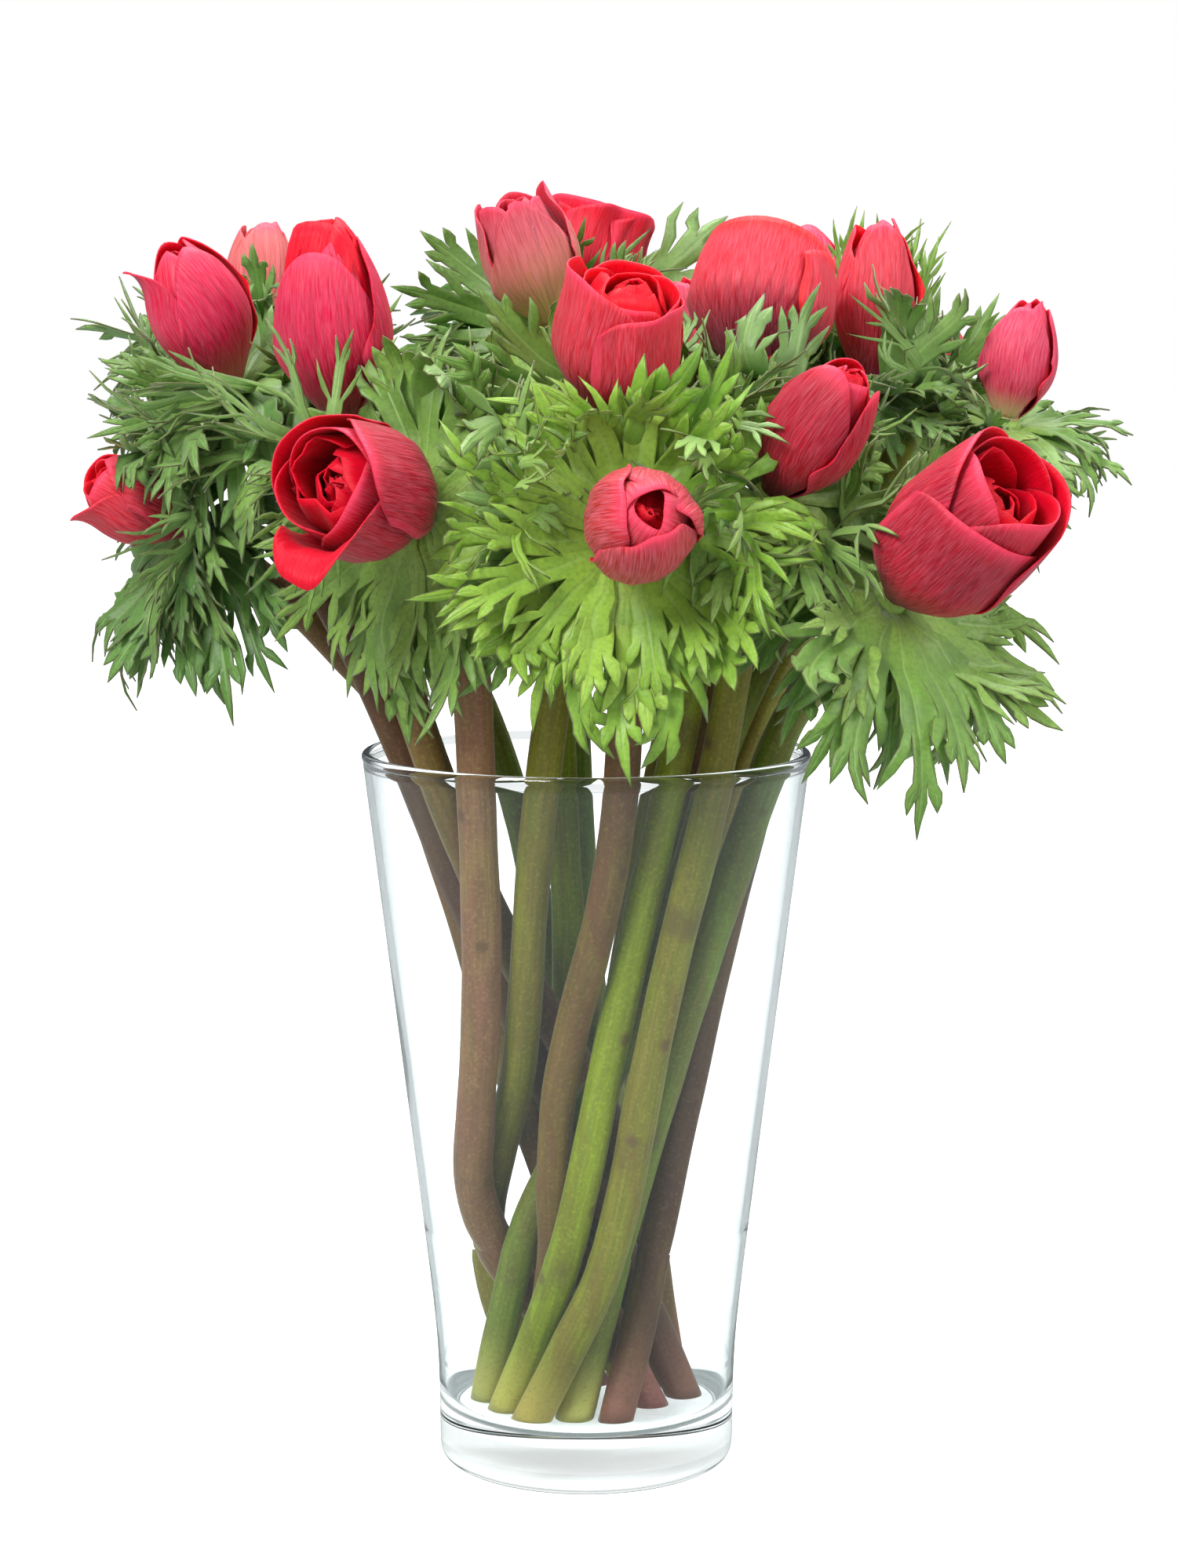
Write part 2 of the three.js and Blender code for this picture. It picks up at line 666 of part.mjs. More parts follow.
// Skin points of a petal, inner face first, row by row
function petalCorners(flower, layer, bearing) {
  const corners = [];
  const at = (u, share) => petalPoint(flower, layer, bearing, u, share);
  for (const face of [0.5, -0.5]) {
    for (const share of layer.rows) {
      for (const u of layer.columns) {
        const across = at(u + 0.05, share).sub(at(u - 0.05, share));
        const along = at(u, share + 0.02).sub(at(u, share - 0.02));
        const normal = across.cross(along).normalize();
        corners.push(at(u, share).addScaledVector(normal, face * PETAL_THICKNESS));
      }
    }
  }
  return corners;
}

// Triangles of a blade whose two faces are grids of corners, one after the other
function bladeFaces(rows, columns) {
  const back = rows * columns;
  const faces = [];
  for (let r = 0; r + 1 < rows; r += 1) {
    for (let c = 0; c + 1 < columns; c += 1) {
      const a = r * columns + c;
      const b = a + 1;
      const d = a + columns;
      const e = d + 1;
      faces.push([a, b, e], [a, e, d], [a + back, e + back, b + back], [a + back, d + back, e + back]);
    }
  }
  const edges = [];
  for (let c = 0; c + 1 < columns; c += 1) {
    edges.push([c, c + 1], [(rows - 1) * columns + c + 1, (rows - 1) * columns + c]);
  }
  for (let r = 0; r + 1 < rows; r += 1) {
    edges.push([(r + 1) * columns, r * columns], [(r + 1) * columns - 1, (r + 2) * columns - 1]);
  }
  for (const [a, b] of edges) {
    faces.push([a, a + back, b + back], [a, b + back, b]);
  }
  return faces;
}

// The receptacle: a shallow cone whose rim is the roots of the outer petals
function receptacleSolid(flower, inner, outer) {
  const count = inner.length;
  const apex = flower.hub.clone().addScaledVector(flower.axis, HUB_HEIGHT / 2 + GAP);
  const faces = [];
  for (let a = 0; a < count; a += 1) {
    const b = (a + 1) % count;
    faces.push([a, b + count, a + count], [a, b, b + count], [a + count, b + count, 2 * count]);
    if (a > 0 && b > 0) {
      faces.push([0, b, a]);
    }
  }
  return closedSolid([...inner, ...outer, apex], faces);
}

function bloomGeometry(flower) {
  const pieces = [];
  const inner = [];
  const outer = [];
  for (const layer of [OUTER_LAYER, INNER_LAYER]) {
    const rows = layer.rows.length;
    const columns = layer.columns.length;
    for (let petal = 0; petal < layer.petals; petal += 1) {
      const corners = petalCorners(flower, layer, flower.turn + layer.turn + 360 / layer.petals * petal);
      pieces.push(closedSolid(corners, bladeFaces(rows, columns)));
      if (layer === OUTER_LAYER) {
        inner.push(...corners.slice(0, columns));
        outer.push(...corners.slice(rows * columns, (rows + 1) * columns));
      }
    }
  }
  pieces.push(receptacleSolid(flower, inner, outer));
  return geometryOf(wasm.Manifold.union(pieces));
}

// Water with a plain hole for every stem
function waterGeometry(flowers) {
  const body = turned([...innerProfile(WATER_HEIGHT, GAP), [0, WATER_HEIGHT]], VASE_SIDES);
  const holeGrowth = GAP / Math.cos(Math.PI / STEM_SIDES);
  const holes = flowers.map((flower) => solidOf(
    stemTube(flower, flower.stem / 2 + holeGrowth, FLOOR_HEIGHT - 1),
  ));
  return geometryOf(solidOf(body).subtract(wasm.Manifold.union(holes)));
}

const glass = new THREE.MeshStandardMaterial({ color: 0xe8f1f0, roughness: 0.05 });
const water = new THREE.MeshStandardMaterial({ color: 0xdfeeee, roughness: 0.05 });
const stemSkin = new THREE.MeshStandardMaterial({ color: 0x7d6f4a, roughness: 0.7 });
const leafGreen = new THREE.MeshStandardMaterial({ color: 0x4d7d3a, roughness: 0.75 });
const petalRed = new THREE.MeshStandardMaterial({ color: 0xbd1c3c, roughness: 0.7 });

function addMesh(group, name, geometry, material) {
  const mesh = new THREE.Mesh(geometry, material);
  mesh.name = name;
  group.add(mesh);
}

const flowers = FLOWERS.map((entry) => {
  const axis = vector(entry.faces).normalize();
  const flower = { ...entry, hub: vector(entry.collar), axis, ...frameOf(axis) };
  flower.leafPlans = leafPlans(flower);
  flower.path = stemStart(flower);
  return flower;
});
settleStems(flowers);
for (const flower of flowers) {
  flower.balls = ballsOf(flower);
}

const bunch = new THREE.Group();
addMesh(bunch, 'vase', vaseGeometry(), glass);
addMesh(bunch, 'water', waterGeometry(flowers), water);
flowers.forEach((flower, index) => {
  const number = String(index + 1).padStart(2, '0');
  addMesh(bunch, `stem_${number}`, stemTube(flower, flower.stem / 2, FLOOR_HEIGHT + GAP), stemSkin);
  addMesh(bunch, `collar_${number}`, collarGeometry(flower, flowers), leafGreen);
  addMesh(bunch, `bloom_${number}`, bloomGeometry(flower), petalRed);
});

export default bunch;
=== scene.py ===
import math

import bpy
import numpy as np
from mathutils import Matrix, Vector


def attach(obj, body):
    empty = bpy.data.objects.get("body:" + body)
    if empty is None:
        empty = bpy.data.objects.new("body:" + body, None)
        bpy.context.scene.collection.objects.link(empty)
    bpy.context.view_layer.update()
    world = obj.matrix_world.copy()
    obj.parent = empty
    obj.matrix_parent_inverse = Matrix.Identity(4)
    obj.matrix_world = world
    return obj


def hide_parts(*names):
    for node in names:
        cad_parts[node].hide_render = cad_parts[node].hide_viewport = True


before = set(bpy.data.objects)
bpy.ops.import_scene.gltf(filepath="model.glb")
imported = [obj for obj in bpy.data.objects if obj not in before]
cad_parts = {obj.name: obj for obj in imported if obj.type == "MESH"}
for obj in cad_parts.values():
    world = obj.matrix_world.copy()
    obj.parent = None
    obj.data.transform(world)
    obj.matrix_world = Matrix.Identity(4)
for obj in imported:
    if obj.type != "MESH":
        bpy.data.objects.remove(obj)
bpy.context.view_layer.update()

# The room: a pale table top in a bright white studio, seen from a little above the
# rim of the vase. It holds nothing of the object itself.

CAMERA_PLACE = (0.0006, -0.9, 0.301)
CAMERA_LENS = 79.13
CAMERA_DIP = 7.57
TABLE_HALF = 6
WHITE = (1, 1, 1, 1)

scene = bpy.context.scene
camera_data = bpy.data.cameras.new("camera")
camera_data.sensor_fit = "VERTICAL"
camera_data.sensor_height = 36.0
camera_data.lens = CAMERA_LENS
camera = bpy.data.objects.new("camera", camera_data)
camera.location = CAMERA_PLACE
camera.rotation_euler = (math.radians(90 - CAMERA_DIP), 0, 0)
scene.collection.objects.link(camera)
scene.camera = camera
scene.view_settings.view_transform = "Standard"


def paint(red, green, blue):
    """A colour from its values on a screen, 0 to 255, as the light it sends back."""
    shares = [value / 255 for value in (red, green, blue)]
    linear = [s / 12.92 if s <= 0.04045 else ((s + 0.055) / 1.055) ** 2.4 for s in shares]
    return (*linear, 1.0)


def add_node(tree, kind, values=None, **settings):
    """A shader node with its settings made, its plain inputs set and its linked ones linked."""
    made = tree.nodes.new(kind)
    for name, value in settings.items():
        setattr(made, name, value)
    for socket, value in (values or {}).items():
        if isinstance(value, bpy.types.NodeSocket):
            tree.links.new(value, made.inputs[socket])
        else:
            made.inputs[socket].default_value = value
    return made


def tree_of(*values):
    """The tree of whichever values are sockets."""
    return next(value.id_data for value in values if isinstance(value, bpy.types.NodeSocket))


def blended(share, first, second, way="MIX"):
    """A colour mixed from two."""
    values = {0: share, 6: first, 7: second}
    return add_node(tree_of(share, first, second), "ShaderNodeMix", values,
                    data_type="RGBA", blend_type=way).outputs[2]


def between(value, low, high, to_low=0.0, to_high=1.0):
    """A value carried smoothly from one range to another."""
    return add_node(tree_of(value), "ShaderNodeMapRange", {
        "Value": value, "From Min": low, "From Max": high, "To Min": to_low, "To Max": to_high,
    }, interpolation_type="SMOOTHSTEP").outputs["Result"]


def layered(colour, *layers):
    """A colour with others laid over it in turn, each by its share."""
    for share, other in layers:
        colour = blended(share, colour, other)
    return colour


def combined(way, first, second=0.0):
    """Two values joined by arithmetic."""
    values = {0: first, 1: second}
    return add_node(tree_of(first), "ShaderNodeMath", values, operation=way).outputs[0]


def times(first, second):
    return combined("MULTIPLY", first, second)


def noise(place, scale, detail, roughness=0.5):
    """A cloudy value from 0 to 1."""
    return add_node(tree_of(place), "ShaderNodeTexNoise", {
        "Vector": place, "Scale": scale, "Detail": detail, "Roughness": roughness,
    }).outputs["Fac"]


def object_place(tree):
    return add_node(tree, "ShaderNodeTexCoord").outputs["Object"]


def new_group(name, inputs, outputs):
    """An empty group of shader nodes, and the sockets to take from and to give to. They carry
    colours or places where their names say so, and values otherwise."""
    group = bpy.data.node_groups.new(name, "ShaderNodeTree")
    for way, labels in (("INPUT", inputs), ("OUTPUT", outputs)):
        for label in labels:
            kind = "NodeSocketColor" if "Colour" in label else "NodeSocketFloat"
            if label in ("Place", "Across And Along"):
                kind = "NodeSocketVector"
            group.interface.new_socket(name=label, in_out=way, socket_type=kind)
    enter, leave = group.nodes.new("NodeGroupInput"), group.nodes.new("NodeGroupOutput")
    return group, enter.outputs, leave.inputs


def new_material(name):
    """A material with no nodes yet, and its tree."""
    material = bpy.data.materials.new(name)
    material.use_nodes = True
    material.node_tree.nodes.clear()
    return material, material.node_tree


# Soft mottling: a slow change of tone that every surface has
mottling, enter, leave = new_group(
    "mottling", ["Colour", "Blotch Colour", "Place", "Size", "Amount"], ["Colour"])
cloud = noise(enter["Place"], enter["Size"], 4.0, 0.6)
share = times(between(cloud, 0.35, 0.68), enter["Amount"])
mottled = blended(share, enter["Colour"], enter["Blotch Colour"])
mottling.links.new(mottled, leave["Colour"])


def mottle(colour, blotch_colour, place, size, amount):
    """A colour with soft blotches of another."""
    return add_node(tree_of(place), "ShaderNodeGroup", {
        "Colour": colour, "Blotch Colour": blotch_colour, "Place": place, "Size": size,
        "Amount": amount,
    }, node_tree=mottling).outputs["Colour"]


def thrown_back_share(rays):
    """1 for light that the glass has thrown back once, less for light thrown back more often."""
    once = combined("MINIMUM", rays["Glossy Depth"], 1.0)
    often = between(rays["Glossy Depth"], 1.0, 2.0, 0.0, 0.75)
    return combined("SUBTRACT", once, often)


floor_mesh = bpy.data.meshes.new("floor")
corners = [(x * TABLE_HALF, y * TABLE_HALF, 0) for x, y in [(-1, -1), (1, -1), (1, 1), (-1, 1)]]
floor_mesh.from_pydata(corners, [], [(0, 1, 2, 3)])
floor = bpy.data.objects.new("floor", floor_mesh)
scene.collection.objects.link(floor)

# The table's white cloth: what the glass bends of it far to the sides, and what it mirrors,
# is darker than what the eye sees of it
floor_white, tree = new_material("floor_white")
place = object_place(tree)
tone = mottle((0.93, 0.93, 0.93, 1), (0.91, 0.915, 0.92, 1), place, 3.0, 0.6)
rays = add_node(tree, "ShaderNodeLightPath").outputs
sideways = add_node(tree, "ShaderNodeSeparateXYZ", {"Vector": place}).outputs["X"]
far_side = between(combined("ABSOLUTE", sideways), 0.5, 1.3)
bent = times(rays["Is Transmission Ray"], far_side)
thrown_back = thrown_back_share(rays)
lit = blended(bent, WHITE, (0.26, 0.29, 0.30, 1))
unlit = combined("MAXIMUM", thrown_back, rays["Is Diffuse Ray"])
cloth = blended(bent, tone, (0.20, 0.22, 0.23, 1))
mirrored = blended(thrown_back, cloth, (0.16, 0.18, 0.18, 1))
surface = add_node(tree, "ShaderNodeBsdfPrincipled", {
    "Base Color": blended(rays["Is Diffuse Ray"], mirrored, (0.32, 0.32, 0.32, 1)),
    "Roughness": 0.6, "Specular IOR Level": 0.1,
    "Emission Color": blended(unlit, lit, (0.20, 0.22, 0.22, 1)), "Emission Strength": 0.62,
})
add_node(tree, "ShaderNodeOutputMaterial", {"Surface": surface.outputs[0]})
floor_mesh.materials.append(floor_white)

# The studio's walls are white to the eye. What the glass mirrors and bends has darker bands to
# the left and right, as where a studio's white cloths end.
world = bpy.data.worlds.new("studio")
scene.world = world
world.use_nodes = True
tree = world.node_tree
tree.nodes.clear()
direction = add_node(tree, "ShaderNodeTexCoord").outputs["Generated"]
split = add_node(tree, "ShaderNodeSeparateXYZ", {"Vector": direction}).outputs
sideways = combined("ABSOLUTE", split["X"])
side_bands = times(between(sideways, 0.62, 0.74), between(sideways, 0.99, 0.93))
bands = combined("MAXIMUM", side_bands, between(split["Z"], 0.30, 0.65))
cloths = blended(bands, WHITE, (0.26, 0.30, 0.31, 1))
rays = add_node(tree, "ShaderNodeLightPath").outputs
seen = blended(rays["Is Camera Ray"], cloths, WHITE)
mirrored = blended(thrown_back_share(rays), seen, (0.12, 0.135, 0.14, 1))
soft = blended(rays["Is Diffuse Ray"], mirrored, (0.70, 0.71, 0.73, 1))
sky = add_node(tree, "ShaderNodeBackground", {"Color": soft, "Strength": 1.0})
add_node(tree, "ShaderNodeOutputWorld", {"Surface": sky.outputs[0]})

# Three square lamps behind white cloth: where each is, how high it aims, its size and its power
for name, place, aim, size, power in [
    ("key_light", (-0.9, -1.3, 1.5), 0.22, 0.8, 42),
    ("side_light", (1.5, -0.6, 1.0), 0.22, 0.8, 13),
    ("top_light", (0.1, 0.5, 1.7), 0.25, 1.2, 32),
]:
    lamp = bpy.data.lights.new(name, "AREA")
    lamp.size = size
    lamp.energy = power
    box = bpy.data.objects.new(name, lamp)
    box.location = place
    box.rotation_euler = (Vector((0, 0, aim)) - Vector(place)).to_track_quat("-Z", "Y").to_euler()
    box.visible_transmission = False
    scene.collection.objects.link(box)

# The vase: one piece of thick clear blown glass, a little wider at the rim, with a heavy
# floor and a rounded, fire-polished lip.

VASE_HEIGHT = 0.1906
FOOT_RADIUS = 0.0392
FOOT_EDGE = 0.003
TAPER = 0.1235
KNEE_HEIGHT = 0.030
KNEE_SOFTNESS = 0.012
WALL = 0.0020
LIP = 0.00135
FLOOR_HEIGHT = 0.0148
FLOOR_CORNER = 0.005
VASE_SIDES = 160


def wall_radius(height):
    above = height - KNEE_HEIGHT
    return FOOT_RADIUS + TAPER * (np.hypot(above, KNEE_SOFTNESS) + above) / 2


def arc(radius, height, size, start, stop, count):
    """Points of radius and height on part of a circle, between two bearings in degrees."""
    angles = np.radians(np.linspace(start, stop, count))
    return [(radius + size * math.cos(a), height + size * math.sin(a)) for a in angles]


def tube_faces(rows, sides):
    """Faces of a tube of rings of points. Two points more close it, at its start and its end."""
    faces = []
    for row in range(0, (rows - 1) * sides, sides):
        for side in range(sides):
            after = (side + 1) % sides
            faces.append((row + side, row + after, row + sides + after, row + sides + side))
    start, last = rows * sides, (rows - 1) * sides
    for side in range(sides):
        after = (side + 1) % sides
        faces += [(start, after, side), (start + 1, last + side, last + after)]
    return faces


def lathe(profile, sides):
    """A turned skin from points of radius and height that start and end on the axis."""
    radii, heights = np.array(profile[1:-1]).T
    turns = np.linspace(0, 2 * math.pi, sides, endpoint=False)
    rings = np.stack([
        radii[:, None] * np.cos(turns), radii[:, None] * np.sin(turns),
        np.repeat(heights[:, None], sides, axis=1),
    ], axis=-1).reshape(-1, 3)
    points = np.vstack([rings, [[0, 0, profile[0][1]], [0, 0, profile[-1][1]]]])
    return points, tube_faces(len(radii), sides)


def add_piece(name, points, faces, material, slot, node, marks=None, uv=None):
    """A piece of the object from its points and faces, riding with the rest."""
    mesh = bpy.data.meshes.new(name)
    mesh.from_pydata(np.asarray(points).tolist(), [], faces)
    mesh.shade_smooth()
    for label, values in (marks or {}).items():
        attribute = mesh.attributes.new(label, "FLOAT", "POINT")
        attribute.data.foreach_set("value", np.asarray(values, np.float32))
    if uv is not None:
        corners = np.zeros(len(mesh.loops), np.int32)
        mesh.loops.foreach_get("vertex_index", corners)
        layer = mesh.uv_layers.new(name="length_and_width")
        layer.data.foreach_set("uv", np.asarray(uv, np.float32)[corners].ravel())
    mesh.materials.append(material)
    piece = bpy.data.objects.new(name, mesh)
    scene.collection.objects.link(piece)
    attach(piece, "root")
    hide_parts(node)


def inside_profile(top, allowance):
    """The inside of the vase from the middle of its floor up to a height."""
    corner = FLOOR_HEIGHT + FLOOR_CORNER
    corner_radius = wall_radius(corner) - WALL - FLOOR_CORNER
    heights = np.linspace(corner + 0.003, top, 18)
    walls = [(wall_radius(h) - WALL - allowance, h) for h in heights]
    middle = [(0, FLOOR_HEIGHT + allowance), (0.015, FLOOR_HEIGHT + allowance)]
    return middle + arc(corner_radius, corner, FLOOR_CORNER - allowance, -90, 0, 9) + walls


def clear_material(name, tint, blotch, blotch_size, ior, passed, waves=0.0):
    """A clear body that bends what is seen through it, and lets the lamps' light pass."""
    material, tree = new_material(name)
    place = object_place(tree)
    surface = add_node(tree, "ShaderNodeBsdfPrincipled", {
        "Base Color": mottle(tint, blotch, place, blotch_size, 0.5),
        "Roughness": 0.0, "IOR": ior, "Transmission Weight": 1.0,
    })
    if waves:
        bump = add_node(tree, "ShaderNodeBump", {
            "Height": noise(place, 26.0, 1.0), "Strength": waves, "Distance": 0.002,
        })
        tree.links.new(bump.outputs["Normal"], surface.inputs["Normal"])
    rays = add_node(tree, "ShaderNodeLightPath").outputs
    passing = combined("MAXIMUM", rays["Is Shadow Ray"], rays["Is Diffuse Ray"])
    through = add_node(tree, "ShaderNodeBsdfTransparent", {"Color": passed})
    mixed = add_node(tree, "ShaderNodeMixShader", {
        0: passing, 1: surface.outputs[0], 2: through.outputs[0],
    })
    add_node(tree, "ShaderNodeOutputMaterial", {"Surface": mixed.outputs[0]})
    return material


lip_height = VASE_HEIGHT - LIP
lip_radius = wall_radius(lip_height) - WALL / 2 - 0.0002
lip_start = lip_height - 0.003
outside = [(wall_radius(h), h) for h in np.linspace(lip_start, 0.0045, 28)]
vase_profile = (
    inside_profile(lip_start, 0)
    + arc(lip_radius, lip_height, LIP, 222, -42, 17)
    + outside
    + arc(FOOT_RADIUS - FOOT_EDGE, FOOT_EDGE, FOOT_EDGE, 0, -90, 8)
    + [(0.030, 0.0), (0.028, 0.0), (0, 0.0)]
)[::-1]
clear_glass = clear_material("clear_glass", (0.905, 0.935, 0.94, 1), (0.89, 0.925, 0.93, 1), 20.0,
                             ior=1.5, passed=(0.95, 0.97, 0.97, 1), waves=0.05)
add_piece("vase_glass", *lathe(vase_profile, VASE_SIDES), clear_glass, "glass", "vase")

# The water: still tap water about a third of the way up, clinging a little to the glass.
# It bends light much less than real water, so that the stems look unbroken at its top.

WATER_HEIGHT = 0.064
GLASS_OVERLAP = -0.00005
CLING = 0.0003

clear_water = clear_material("clear_water", (0.985, 0.995, 0.99, 1), (0.975, 0.99, 0.985, 1), 30.0,
                             ior=1.012, passed=(0.98, 0.99, 0.985, 1))
water_edge = wall_radius(WATER_HEIGHT) - WALL
meniscus = [(water_edge - 0.0005, WATER_HEIGHT - 0.0001),
            (water_edge - 0.0018, WATER_HEIGHT - 0.00025),
            (water_edge - 0.004, WATER_HEIGHT - CLING), (0.02, WATER_HEIGHT - CLING),
            (0, WATER_HEIGHT - CLING)]
water_profile = inside_profile(WATER_HEIGHT, GLASS_OVERLAP) + meniscus
add_piece("clear_water", *lathe(water_profile, VASE_SIDES), clear_water, "water", "water")

# The stems: seventeen thick, juicy flower stalks, downy and faintly ribbed, brown-mauve to
# bright green. They stand cut on the floor of the vase and lean across one another.

STEM_SIDES = 22
STEM_RINGS = 80
STEM_WIDTHS = [9.2, 8.6, 9.4, 9.0, 9.0, 9.2, 9.2, 8.8, 8.8, 8.6, 9.4, 8.6, 8.8, 9.6, 9.2, 10.4, 8.8]
FOOT_GAP = 0.0003
RIBS = [(5, 0.010, 2.0), (8, 0.008, -1.5), (11, 0.006, 1.0)]
SEGMENT_POINTS = 24
STEM_SEED = 40
numbers = [f"{number:02d}" for number in range(1, 18)]


def unit(vectors):
    return vectors / np.maximum(np.linalg.norm(vectors, axis=-1, keepdims=True), 1e-12)


def line_length(line):
    return np.linalg.norm(np.diff(line, axis=0), axis=1).sum()


def each_axis(wanted, known, values):
    """Points of a line at wanted places along it."""
    return np.stack([np.interp(wanted, known, values[:, k]) for k in range(3)], axis=1)


def smooth_line(points, count):
    """A smooth curve through points, as evenly spaced points."""
    ends = np.vstack([2 * points[0] - points[1], points, 2 * points[-1] - points[-2]])
    s = np.linspace(0, 1, SEGMENT_POINTS, endpoint=False)[:, None]
    runs = [0.5 * (2 * b + (c - a) * s + (2 * a - 5 * b + 4 * c - d) * s ** 2
                   + (3 * b - a - 3 * c + d) * s ** 3)
            for a, b, c, d in zip(ends, ends[1:], ends[2:], ends[3:])]
    fine = np.vstack([*runs, points[-1:]])
    reach = np.concatenate([[0], np.cumsum(np.linalg.norm(np.diff(fine, axis=0), axis=1))])
    return each_axis(np.linspace(0, reach[-1], count), reach, fine)


def rings_of(node):
    """The middles of a CAD stem's rings of corners, from its foot to its top."""
    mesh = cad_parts[node].data
    places = np.array([vertex.co[:] for vertex in mesh.vertices])
    corners, index = np.unique(np.round(places, 6), axis=0, return_inverse=True)
    index = index.ravel()
    neighbours = {number: set() for number in range(len(corners))}
    for face in mesh.polygons:
        round_it = [int(index[v]) for v in face.vertices]
        for a, b in zip(round_it, round_it[1:] + round_it[:1]):
            neighbours[a].add(b)
            neighbours[b].add(a)
    ring = set(np.argsort(corners[:, 2])[:6].tolist())
    done = set()
    middles = []
    while ring:
        middles.append(corners[sorted(ring)].mean(axis=0))
        done |= ring
        ring = {after for corner in ring for after in neighbours[corner]} - done
    return np.array(middles)


stem_lines = [smooth_line(rings_of(f"stem_{number}"), STEM_RINGS) for number in numbers]


def carried_frames(line, side):
    """Directions along a line, and two square to it that turn as little as they can."""
    along = unit(np.gradient(line, axis=0))
    sides = [unit(side - along[0] * np.dot(side, along[0]))]
    for ahead in along[1:]:
        sides.append(unit(sides[-1] - ahead * np.dot(sides[-1], ahead)))
    sides = np.array(sides)
    return along, sides, np.cross(along, sides)


def stem_skin(line, width, seed):
    """A closed, faintly ribbed tube, cut level at the foot."""
    vary = np.random.default_rng(seed).uniform
    along, side, up = carried_frames(line, np.array([1.0, 0, 0]))
    turns = np.linspace(0, 2 * math.pi, STEM_SIDES, endpoint=False)
    share = np.linspace(0, 1, len(line))[:, None]
    ribs = sum(size * np.sin(count * turns + vary(0, 6.3) + twist * share)
               for count, size, twist in RIBS)
    swell = (0.02 * np.sin(share * 23 + vary(0, 6.3))
             + 0.015 * np.sin(share * 51 + vary(0, 6.3)))
    taper = 1.03 - 0.10 * share
    radius = (width / 2 * taper * (1 + ribs + swell))[..., None]
    rings = line[:, None] + radius * (np.cos(turns)[None, :, None] * side[:, None]
                                      + np.sin(turns)[None, :, None] * up[:, None])
    foot = FLOOR_HEIGHT + FOOT_GAP
    rings[0] += along[0] * ((foot - rings[0][:, 2]) / along[0][2])[:, None]
    rings[1] += along[0] * np.maximum(0, (foot + 0.001 - rings[1][:, 2]) / along[0][2])[:, None]
    points = np.vstack([rings.reshape(-1, 3), line[:1], line[-1:]])
    points[-2][2] = foot
    along_share = np.concatenate([np.repeat(share[:, 0], STEM_SIDES), [0, 1]])
    around_it = np.concatenate([np.tile(turns * width / 2, len(line)), [0, 0]])
    uv = np.stack([around_it, along_share * line_length(line)], axis=1)
    return points, tube_faces(len(line), STEM_SIDES), {"along": along_share}, uv


# Lengthwise lines: the fine ridges and veins that run along stems and petals. Their place is
# given in metres across and along the piece.
long_lines, enter, leave = new_group(
    "long_lines", ["Across And Along", "Fineness", "Stretch"], ["Lines", "Broad Lines"])
parts = add_node(long_lines, "ShaderNodeSeparateXYZ", {"Vector": enter["Across And Along"]}).outputs
stretched = add_node(long_lines, "ShaderNodeCombineXYZ", {
    "X": parts["X"], "Y": times(parts["Y"], enter["Stretch"]),
}).outputs[0]
fine = noise(stretched, enter["Fineness"], 3.0, 0.6)
broad = noise(stretched, times(enter["Fineness"], 0.3), 2.0)
long_lines.links.new(between(fine, 0.35, 0.65), leave["Lines"])
long_lines.links.new(between(broad, 0.35, 0.65), leave["Broad Lines"])


def lines_along(wide, fineness, stretch):
    """Fine and broad lengthwise lines on a piece."""
    made = add_node(tree_of(wide), "ShaderNodeGroup", {
        "Across And Along": wide, "Fineness": fineness, "Stretch": stretch,
    }, node_tree=long_lines)
    return made.outputs["Lines"], made.outputs["Broad Lines"]


def mesh_marks(tree, labels):
    """Values that a mesh carries at its points."""
    return [add_node(tree, "ShaderNodeAttribute", attribute_name=label).outputs["Fac"]
            for label in labels]


def wide_place(tree):
    return add_node(tree, "ShaderNodeUVMap", uv_map="length_and_width").outputs["UV"]


def shade_of(colour, factor, lift=0.0):
    return (*[min(1.0, factor * value + lift) for value in colour[:3]], 1)


def grown_surface(tree, colour, height, relief, look):
    """The surface of a grown piece: its colour, its fine relief, and its plain values."""
    bump = add_node(tree, "ShaderNodeBump", {
        "Height": height, "Strength": relief, "Distance": 0.0003,
    })
    surface = add_node(tree, "ShaderNodeBsdfPrincipled", {
        "Base Color": colour, "Normal": bump.outputs["Normal"], **look,
    })
    add_node(tree, "ShaderNodeOutputMaterial", {"Surface": surface.outputs[0]})


